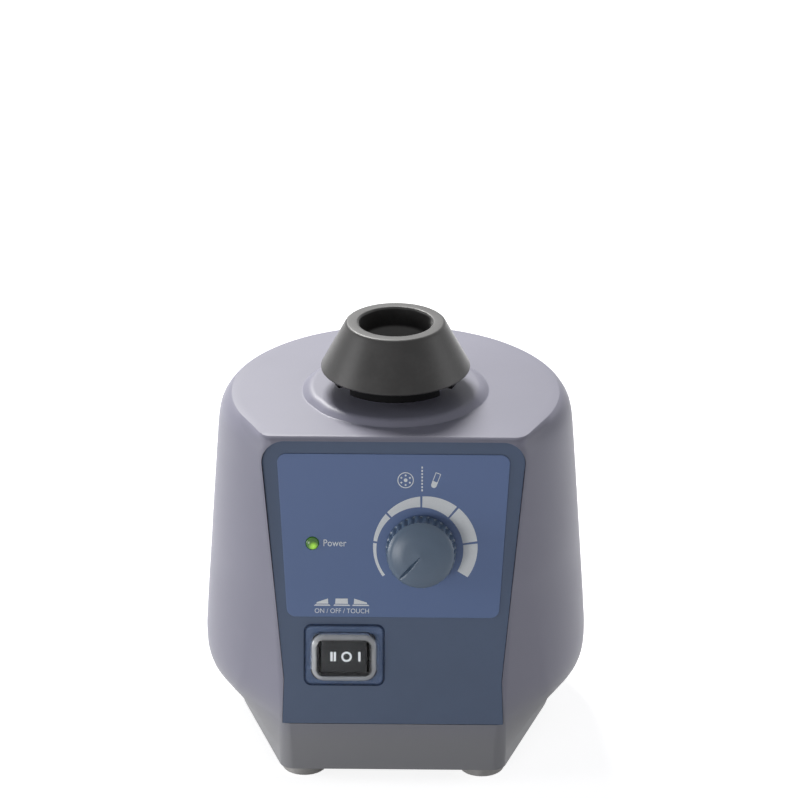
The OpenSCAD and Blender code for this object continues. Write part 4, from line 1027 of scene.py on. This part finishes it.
def rocker_signs():
    """The rocker seen from the side in its three places, each over a line for the panel."""
    line, low = 40.6, 41.28
    signs = []
    places = ((-26.1, -20.9, 0.6, 0.45, 1.75), (-19.6, -14.35, 0.35, 1.75, 1.75),
              (-13.4, -8.0, 0.35, 1.75, 0.45))
    for left, right, step, high_left, high_right in places:
        signs.append([(left - 0.2, line), (right + 0.15, line), (right - 0.25, line + 0.45),
                      (left + step - 0.3, line + 0.45)])
        signs.append([(left + step, low), (right - 0.6, low), (right - 0.7, low + 0.07 + high_right),
                      (left + step + 0.15, low + 0.07 + high_left)])
    return signs


def mode_signs():
    """A plate with six wells, a dotted line, and a leaning tube."""
    u, v = 4.0, 83.5
    wells = [math.radians(30 + 60 * k) for k in range(6)]
    signs = [washer_outline(u, v, 2.7, 2.4), disc_outline(u, v, 0.62)]
    signs += [disc_outline(u + 1.62 * math.cos(a), v + 1.62 * math.sin(a), 0.33) for a in wells]
    for low in (79.8 + 1.1 * k for k in range(8)):
        signs.append([(9.2, low), (9.7, low), (9.7, low + 0.65), (9.2, low + 0.65)])

    def leaning(x, y):
        cos, sin = math.cos(math.radians(-20)), math.sin(math.radians(-20))
        return (13.9 + x * cos - y * sin, 83.4 + x * sin + y * cos)

    half = 0.95
    bulb = [leaning(half * math.cos(a), -1.6 + half * math.sin(a))
            for a in (math.pi * (1 + k / 12) for k in range(13))]
    signs.append(bulb + [leaning(half, -0.35), leaning(-half, -0.35)])
    signs += [stroke(leaning(x, -0.35), leaning(x, 2.55), 0.24) for x in (-0.82, 0.82)]
    signs.append(stroke(leaning(-half, 2.6), leaning(half, 2.6), 0.26))
    return signs


class MIXER_OT_panel(bpy.types.Operator):
    """Make the sloping panel, its overlay and the printed signs"""

    bl_idname = "mixer.panel"
    bl_label = "Panel"
    bl_options = {"REGISTER", "UNDO"}

    def execute(self, context):
        p = sizes("mixer_panel")
        frame_paint = moulded("Slate panel", paint_colour("panel"), 0.40, relief=0.014, drift=0.07)
        sheet = overlay_sheet("Overlay film", paint_colour("overlay"))
        ink = printed("Sign ink", paint_colour("signs"))
        refined("front_panel", "front_panel_moulding", "chassis", "slate_frame", frame_paint, 0.35,
                moved=upright_foot(p))
        refined("panel_overlay", "overlay_film", "chassis", "overlay_blue", sheet, 0.12)

        low, high = p["overlay"] - 0.002, p["overlay"] + p["print_height"]
        lay = panel_frame(0, 0)
        signs = [slab("sign", outline, low, high, lay, ink)
                 for outline in dial_signs(p) + rocker_signs() + mode_signs()]
        signs.append(lettering("power_word", "Power", 7.6, 2.3, (-23.1, 60.9), low, high, ink))
        signs.append(lettering("mode_words", "ON / OFF / TOUCH", 18.0, 1.6, (-26, 38.1), low, high, ink))
        finished(joined("printed_signs", signs), "chassis", "overlay_blue")
        return {"FINISHED"}


# ---------- knob, switch and lamp ----------


class MIXER_OT_controls(bpy.types.Operator):
    """Make the speed knob, the rocker under its clear boot and the lamp"""

    bl_idname = "mixer.controls"
    bl_label = "Controls"
    bl_options = {"REGISTER", "UNDO"}

    def execute(self, context):
        self.knob()
        self.switch()
        self.lamp()
        return {"FINISHED"}

    def knob(self):
        k = sizes("mixer_knob")
        plastic = moulded("Knob plastic", paint_colour("knob"), 0.33, grain=0.16, relief=0.003,
                          specular_ior_level=0.65)
        r, h = k["radius"], k["height"]
        profile = [(3.3, 7.8), (3.3, 2.8)] + rounded(
            [(3.3, 2.8), (6.2, 2.8), (6.2, 0.0), (r - 0.1, 0.0, 0.3), (r - 0.1, 0.9), (r - 0.3, 4.0),
             (r - 0.5, h - 2.9, 0.2), (r - 0.75, h - 2.3, 0.8), (r - 1.9, h - 1.4, 1.2),
             (r - 5.0, h - 0.5, 3.0), (0.02, h)], 0.3, 6)[1:]
        points, faces = turned(profile, k["flutes"] * 12)
        lay = panel_frame(*KNOB_AT, 1.0)
        growth = Growth("Knob flutes", Flutes=float(k["flutes"]), Depth=float(k["flute_depth"]),
                        Radius=float(r), Height=float(h), Material=plastic)
        place = growth.node("GeometryNodeInputPosition")
        parts = growth.node("ShaderNodeSeparateXYZ", None, {0: place})
        across, back, up = (Wire(growth, parts.socket.node.outputs[i]) for i in range(3))
        angle = back.maths("ARCTAN2", across)
        reach = (across * across + back * back).maths("SQRT")
        wave = (angle * growth.given("Flutes")).maths("COSINE") * -0.5 + 0.5
        flank = ((reach - growth.given("Radius") + 1.6) * 2.5).maths("MAXIMUM", 0.0).maths("MINIMUM", 1.0)
        under = ((growth.given("Height") - up - 2.35) * 2.0).maths("MAXIMUM", 0.0).maths("MINIMUM", 1.0)
        over = ((up - 0.25) * 3.0).maths("MAXIMUM", 0.0).maths("MINIMUM", 1.0)
        pull = (wave ** 1.5) * growth.given("Depth") * flank * under * over / reach.maths("MAXIMUM", 1.0)
        shift = growth.node("ShaderNodeCombineXYZ", None, {0: across * pull * -1.0, 1: back * pull * -1.0})
        moved = growth.node("GeometryNodeSetPosition", None, {"Geometry": growth.given(), "Offset": shift})
        knob = growth.grow("fluted_knob", moved, points, faces, lay)
        slope = Matrix.Rotation(math.radians(10), 4, "Y") @ Matrix.Rotation(math.radians(45), 4, "X")
        outwards = Matrix.Rotation(POINTER, 4, "Z") @ Matrix.Translation((r * 0.5 + 0.4, 0, h - 0.6))
        along = lay @ outwards @ slope
        cut(knob, block("groove", (-r / 2, -0.5, -0.5), (r / 2, 0.5, 0.5), along, plastic))
        even_shading(knob)
        finished(knob, "knob", "knob_plastic", "speed_knob")

    def switch(self):
        lay = panel_frame(*SWITCH_AT)
        clear = clear_silicone("Clear boot")
        skin = rounded_rectangle(BOOT_WIDTH, BOOT_HEIGHT, BOOT_CORNER, 10)
        boot = new_piece("clear_boot", *stacked(skin, edge_levels(0.4, 5.2, 2.4, 8)), lay, clear)
        flange = stacked(rounded_rectangle(FLANGE_WIDTH, FLANGE_HEIGHT, FLANGE_CORNER),
                         edge_levels(0.0, 1.0, 0.45, 3))
        cut(boot, new_piece("boot_flange", *flange, lay, clear), "UNION")
        inside = rounded_rectangle(BOOT_WIDTH - 2 * BOOT_WALL, BOOT_HEIGHT - 2 * BOOT_WALL,
                                   BOOT_CORNER - BOOT_WALL, 10)
        cut(boot, new_piece("hollow", *stacked(inside, edge_levels(-1.0, 4.45, 1.9, 7)), lay, clear))
        even_shading(boot)
        finished(boot, "chassis", "clear_boot", "switch_boot")

        black = (0.008, 0.008, 0.009)
        refined("rocker", "rocker_key", "rocker", "black_plastic",
                moulded("Rocker plastic", black, 0.34, relief=0.008, specular_ior_level=0.25), 0.5, 4)
        refined("switch_body", "switch_case", "chassis", "black_plastic",
                moulded("Switch case", black, 0.45, specular_ior_level=0.2), 0.2)
        self.rocker_marks(lay, printed("Rocker marks", (0.62, 0.63, 0.64)))

    def rocker_marks(self, lay, white):
        """Two bars, a ring and one bar, sunk into the rocker's two gentle slopes."""
        sunk, raised, marks = 0.2, 0.03, []
        for u in (-4.15, -3.05, 5.1):
            top = 2.4 - 0.25 * abs(u) / 7.1
            low, high = (u - 0.38, -1.6, top - sunk), (u + 0.38, 1.6, top + raised)
            marks.append(block("mark", low, high, lay, white))
        marks.append(slab("mark", washer_outline(0.85, 0, 1.75, 1.1), 2.4 - sunk, 2.4 + raised, lay, white))
        finished(joined("rocker_marks", marks), "rocker", "black_plastic")

    def lamp(self):
        lens = lamp_lens("Lamp lens", paint_colour("lamp"))
        profile = rounded([(0.02, -6), (2.15, -6), (2.15, 0.5), (1.9, 0.95, 0.4), (1.1, 1.25, 0.6),
                           (0.02, 1.3)], 0.2, 4)
        lamp = new_piece("lamp_lens", *turned(profile, 48), panel_frame(*LAMP_AT), lens)
        finished(lamp, "chassis", "lamp_green", "power_lamp")


# ---------- cup ----------


class MIXER_OT_cup(bpy.types.Operator):
    """Make the rubber cup and the windowed carrier under it"""

    bl_idname = "mixer.cup"
    bl_label = "Cup"
    bl_options = {"REGISTER", "UNDO"}

    def execute(self, context):
        c = sizes("mixer_cup")
        rubber = moulded_rubber("Cup rubber", paint_colour("rubber"), 0.42, 0.30)
        skirt, edge, mouth, seat = c["skirt"], c["rim"], c["mouth"], 21.12
        foot, rim = CUP_FOOT, CUP_FOOT + c["height"]
        deep = rim - c["depth"]
        profile = rounded([
            (0.02, foot + 3), (seat, foot + 3), (seat, foot + 0.5), (seat + 0.98, foot),
            (skirt - 0.25, foot, 0.2), (skirt, foot + 0.45, 0.3), (edge + 0.42, rim - 1.35, 0.5),
            (edge - 0.15, rim - 0.35, 0.35), (edge - 0.75, rim, 0.4), (mouth + 0.5, rim, 0.45),
            (mouth, rim - 0.5, 0.4), (mouth, deep, 0.8), (mouth - 2, deep - 2.2, 1.5),
            (mouth * 0.45, deep - 4.2, 2), (0.02, deep - 4.6)], 0.35, 6)
        cup = new_piece("rubber_cup", *turned(profile, 160), AT_CUP, rubber)
        finished(cup, "cup", "cup_rubber", "cup_head")

        black = moulded("Carrier plastic", paint_colour("carrier"), 0.5, relief=0.008,
                        specular_ior_level=0.08)
        refined("cup_platform", "windowed_carrier", "cup", "crown_plastic", black, 0.35, 3)
        return {"FINISHED"}


# ---------- feet ----------


class MIXER_OT_feet(bpy.types.Operator):
    """Make the four rubber feet"""

    bl_idname = "mixer.feet"
    bl_label = "Feet"
    bl_options = {"REGISTER", "UNDO"}

    def execute(self, context):
        rubber = moulded_rubber("Foot rubber", paint_colour("feet"), 0.66)
        bore, neck, head, top = 1.65, 3.4, 3.6, 8.3
        profile = rounded([
            (bore, top), (bore, 3.0), (head, 3.0), (head, 0.0), (7.3, 0.0, 0.8), (7.9, 1.4, 1.2),
            (7.6, 5.0, 0.3), (neck, 5.0), (neck, top), (bore, top)], 0.2, 4)
        shape = turned(profile, 64)
        for name, (x, y) in FEET.items():
            lay = ON_AXIS @ Matrix.Translation((x, y, 0))
            foot = new_piece("rubber_foot_" + name, *shape, lay, rubber)
            finished(foot, "chassis", "foot_rubber", "foot_" + name)
        return {"FINISHED"}


# ---------- base, socket and drive ----------

BRIGHT, STEEL, DARK_STEEL = (0.62, 0.63, 0.65), (0.50, 0.51, 0.53), (0.16, 0.16, 0.17)


class MIXER_OT_inside(bpy.types.Operator):
    """Finish the base, the mains socket and everything that the shell holds"""

    bl_idname = "mixer.inside"
    bl_label = "Base, socket and drive"
    bl_options = {"REGISTER", "UNDO"}

    def execute(self, context):
        base = moulded("Base plastic", (0.075, 0.078, 0.085), 0.5, relief=0.02)
        black = moulded("Socket plastic", (0.014, 0.014, 0.015), 0.4, relief=0.012)
        refined("base_plate", "base_moulding", "chassis", "slate_frame", base, 0.35)
        refined("mains_inlet", "mains_socket_moulding", "chassis", "black_plastic", black, 0.4)
        refined("fuse_drawer", "fuse_drawer_moulding", "fuse_carrier", "black_plastic",
                moulded("Drawer plastic", (0.02, 0.02, 0.022), 0.45, relief=0.012), 0.25)
        refined("inlet_blades", "contact_blades", "chassis", "tinned_brass",
                worked_metal("Blade brass", (0.70, 0.66, 0.52), 0.25), 0.25)
        zinc = worked_metal("Zinc plate", BRIGHT, 0.32)
        refined("inlet_screws", "socket_screws", "chassis", "zinc_steel",
                worked_metal("Black screws", (0.06, 0.06, 0.065), 0.4), 0.15)
        refined("foot_screws", "foot_fixings", "chassis", "zinc_steel", zinc, 0.15)
        self.base_screws(zinc)
        self.springs()
        self.winding()
        self.plain_finishes(zinc, black)
        return {"FINISHED"}

    def base_screws(self, zinc):
        """Four pan-head screws with a cross recess, set by one rule."""
        profile = rounded([(0.02, -1.6), (2.3, -1.6, 0.5), (2.8, -0.9, 0.4), (2.8, 0.0, 0.1), (1.5, 0.0),
                           (1.5, 15.6), (0.9, 16.4), (0.02, 16.4)], 0.15, 3)
        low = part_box("base_screws")[0].z / MM - profile[0][1]
        pan = new_piece("pan_screw", *turned(profile, 32), Matrix(), zinc)
        for width, depth in ((2.6, 0.55), (0.55, 2.6)):
            cut(pan, slab("cross", rounded_rectangle(width, depth, 0.2), -3.0, -0.9, IN_MM, zinc))
        growth = Growth("Base screws", Screw=pan, Material=zinc)
        shown = growth.node("GeometryNodeObjectInfo", None, {"Object": growth.given("Screw")}, out="Geometry")
        places = [(x, y, low) for x, y in BASE_SCREWS]
        made = growth.grow("pan_screws", growth.repeated(shown), places, [], ON_AXIS)
        bpy.data.objects.remove(pan)
        finished(made, "chassis", "zinc_steel", "base_screws")

    def springs(self):
        """Four return springs, wound by one rule."""
        steel = worked_metal("Spring wire", STEEL, 0.22)
        low, high = (corner.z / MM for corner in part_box("return_springs"))
        wire = 1.2
        growth = Growth("Return springs", Turns=6.0, Radius=4.6, Wire=wire / 2, Height=high - low - wire,
                        Material=steel)
        coil = growth.node("GeometryNodeCurveSpiral", None, {
            "Resolution": 28, "Rotations": growth.given("Turns"), "Start Radius": growth.given("Radius"),
            "End Radius": growth.given("Radius"), "Height": growth.given("Height")})
        one = growth.tube(coil, growth.given("Wire"), 8)
        places = [(x, y, low + wire / 2) for x, y in SPRINGS]
        made = growth.grow("coil_springs", growth.repeated(one), places, [], ON_AXIS)
        finished(made, "chassis", "zinc_steel", "return_springs")
        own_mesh(made)

    def winding(self):
        """The motor winding: rounded turns laid side by side along the limb."""
        copper = wound_wire("Enamelled copper", (0.42, 0.13, 0.045))
        low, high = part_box("motor_coil")
        size, middle = (high - low) / MM, (high + low) / 2
        wire = 1.0
        growth = Growth("Motor winding", Width=size.x - wire, Height=size.z - wire, Wire=wire / 2,
                        Material=copper)
        loop = growth.node("GeometryNodeCurvePrimitiveQuadrilateral", None, {
            "Width": growth.given("Width"), "Height": growth.given("Height")})
        bent = growth.node("GeometryNodeFilletCurve", {"mode": "POLY"}, {
            "Curve": loop, "Radius": 2.0, "Count": 5})
        turn = growth.node("GeometryNodeTransform", None, {
            "Geometry": growth.tube(bent, growth.given("Wire"), 8), "Rotation": (math.pi / 2, 0.0, 0.0)})
        count = int(size.y / wire)
        x, y, z = (value / MM for value in middle)
        places = [(x, y + (k - (count - 1) / 2) * wire, z) for k in range(count)]
        made = growth.grow("wound_coil", growth.repeated(turn), places, [], IN_MM)
        finished(made, "carriage", "copper_winding", "motor_coil")

    def plain_finishes(self, zinc, black):
        """Solids whose own shape is right keep it, and get a worked finish."""
        ground = worked_metal("Ground steel", (0.66, 0.67, 0.69), 0.16, (1, 1, 12), 0.4)
        pressed = worked_metal("Pressed steel", STEEL, 0.36)
        alloy = cast_metal("Cast alloy", (0.48, 0.485, 0.50))
        bronze = cast_metal("Sintered bronze", (0.42, 0.27, 0.12), 0.45)
        brass = worked_metal("Tinned brass", (0.70, 0.66, 0.52), 0.25)
        nylon = moulded("Natural nylon", (0.66, 0.63, 0.54), 0.42)
        sheets = sheet_stack("Lamination steel", (0.26, 0.27, 0.31))
        finishes = {
            zinc: ("panel_screws", "board_screws", "motor_screws", "pot_nut", "touch_switch_bracket"),
            ground: ("pot_shaft", "guide_posts", "motor_shaft", "eccentric_pin", "bearing_inner_rings",
                     "bearing_outer_rings", "bearing_balls"),
            pressed: ("lower_motor_bracket", "upper_motor_bracket", "pot_body"),
            worked_metal("Black spring steel", DARK_STEEL, 0.3): ("hub_screw", "pin_clip"),
            alloy: ("carriage_plate", "eccentric_hub"),
            worked_metal("Ribbed aluminium", (0.55, 0.56, 0.58), 0.35): ("heat_sink",),
            bronze: ("motor_bushes",),
            brass: ("switch_terminals",),
            worked_metal("Bright copper", (0.70, 0.30, 0.16), 0.24): ("shading_rings",),
            nylon: ("coil_bobbin", "carriage_bushes"),
            sheets: ("stator_stack", "rotor_core"),
            black: ("lamp_clip", "triac", "touch_switch"),
            moulded("Fan plastic", (0.03, 0.03, 0.032), 0.4): ("cooling_fan",),
            moulded("Plunger plastic", (0.42, 0.05, 0.035), 0.35): ("touch_plunger",),
            moulded("Block plastic", (0.03, 0.16, 0.07), 0.4): ("terminal_block",),
            moulded("Capacitor shell", (0.50, 0.26, 0.04), 0.3): ("filter_capacitor",),
            moulded("Lead jacket", (0.11, 0.05, 0.03), 0.38): ("mains_leads",),
            circuit_board("Board", (0.012, 0.085, 0.035)): ("control_board",),
            worked_metal("Fuse cap", (0.72, 0.72, 0.73), 0.2): ("fuse",),
        }
        for material, nodes in finishes.items():
            for node in nodes:
                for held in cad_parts[node].material_slots:
                    held.material = material


# ---------- stage ----------


def seen_directly(graph):
    """1 for what the camera, a gloss or a clear piece shows, 0 for the light that falls on things."""
    camera, gloss, clear = graph.light_path("Is Camera Ray", "Is Glossy Ray", "Is Transmission Ray")
    return (camera + gloss + clear).maths("MINIMUM", 1.0)


class MIXER_OT_stage(bpy.types.Operator):
    """Set the pale floor, the lamps and the camera"""

    bl_idname = "mixer.stage"
    bl_label = "Stage"
    bl_options = {"REGISTER", "UNDO"}

    def execute(self, context):
        self.world(context.scene)
        self.floor()
        self.lamp("key", (-0.26, 0.76, 0.95), (0.0, 0.0, 0.10), 0.42, 18.6, (1.0, 0.99, 0.97))
        self.lamp("left", (-1.32, -0.18, 0.27), (0.0, 0.0, 0.06), 0.7, 8.1)
        self.lamp("front", (-0.66, -1.25, 0.16), (0.0, 0.0, 0.07), 0.45, 3.9)
        self.lamp("right", (1.27, 0.02, 0.30), (0.0, 0.0, 0.06), 0.7, 2.75)
        self.camera(context.scene)
        context.scene.view_settings.view_transform = "Standard"
        return {"FINISHED"}

    def camera(self, scene):
        held = bpy.data.cameras.new("Camera")
        held.lens, held.sensor_width, held.shift_x, held.clip_end = 195.3, 36.0, 0.0053, 20.0
        scene.camera = in_scene("Camera", held)
        scene.camera.location = Vector((23.4, -1338.8 + AXIS_Y, 706.5)) * MM
        scene.camera.rotation_euler = (math.radians(90 - 23.9), 0.0, math.radians(1.0))

    def world(self, scene):
        scene.world = bpy.data.worlds.new("Studio")
        scene.world.use_nodes = True
        graph = Graph(scene.world.node_tree)
        graph.tree.nodes.clear()
        soft = graph.node("ShaderNodeBackground", None, {"Color": (0.88, 0.92, 1.0), "Strength": 0.15})
        white = graph.node("ShaderNodeBackground", None, {"Color": (1.0, 1.0, 1.0), "Strength": 1.0})
        both = graph.node("ShaderNodeMixShader", None, {0: seen_directly(graph), 1: soft, 2: white})
        out = graph.tree.nodes.new("ShaderNodeOutputWorld")
        graph.tree.links.new(both.socket, out.inputs["Surface"])

    def floor(self):
        finish = bpy.data.materials.new("Bench")
        finish.use_nodes = True
        graph = Graph(finish.node_tree)
        graph.tree.nodes.clear()
        plain = graph.node("ShaderNodeBsdfDiffuse", None, {"Color": (0.5, 0.5, 0.51)})
        glow = graph.node("ShaderNodeEmission", None, {
            "Color": (1.0, 1.0, 1.0), "Strength": seen_directly(graph) * 0.87})
        both = graph.node("ShaderNodeAddShader", None, {0: plain, 1: glow})
        out = graph.tree.nodes.new("ShaderNodeOutputMaterial")
        graph.tree.links.new(both.socket, out.inputs["Surface"])
        corners = [(-3000, -3000, 0), (3000, -3000, 0), (3000, 3000, 0), (-3000, 3000, 0)]
        new_piece("bench", corners, [(0, 1, 2, 3)], IN_MM, finish, smooth=False)

    def lamp(self, name, at, towards, size, power, colour=(1.0, 1.0, 1.0)):
        light = bpy.data.lights.new(name, "AREA")
        light.shape, light.size, light.energy, light.color = "DISK", size, power, colour
        made = in_scene(name, light)
        made.location = at
        made.rotation_euler = (Vector(towards) - Vector(at)).to_track_quat("-Z", "Y").to_euler()


# ---------- panel in the sidebar, and the run ----------

OPERATORS = (MIXER_OT_body, MIXER_OT_panel, MIXER_OT_controls, MIXER_OT_cup, MIXER_OT_feet, MIXER_OT_inside,
             MIXER_OT_stage)


class MIXER_PT_panel(bpy.types.Panel):
    bl_label = "Vortex mixer"
    bl_idname = "MIXER_PT_panel"
    bl_space_type = "VIEW_3D"
    bl_region_type = "UI"
    bl_category = "Mixer"

    def draw(self, context):
        for group, kind in GROUPS.items():
            box = self.layout.box()
            box.label(text=group.split("_")[1].title())
            for name in kind.__annotations__:
                box.prop(getattr(context.scene, group), name)
        for operator in OPERATORS:
            self.layout.operator(operator.bl_idname)


def register():
    for kind in (*GROUPS.values(), *OPERATORS, MIXER_PT_panel):
        bpy.utils.register_class(kind)
    for group, kind in GROUPS.items():
        setattr(bpy.types.Scene, group, bpy.props.PointerProperty(type=kind))


def unregister():
    for group in GROUPS:
        delattr(bpy.types.Scene, group)
    for kind in reversed((*GROUPS.values(), *OPERATORS, MIXER_PT_panel)):
        bpy.utils.unregister_class(kind)


def main():
    register()
    bpy.ops.mixer.body()
    bpy.ops.mixer.panel()
    bpy.ops.mixer.controls()
    bpy.ops.mixer.cup()
    bpy.ops.mixer.feet()
    bpy.ops.mixer.inside()
    bpy.ops.mixer.stage()


if __name__ == "__main__":
    main()
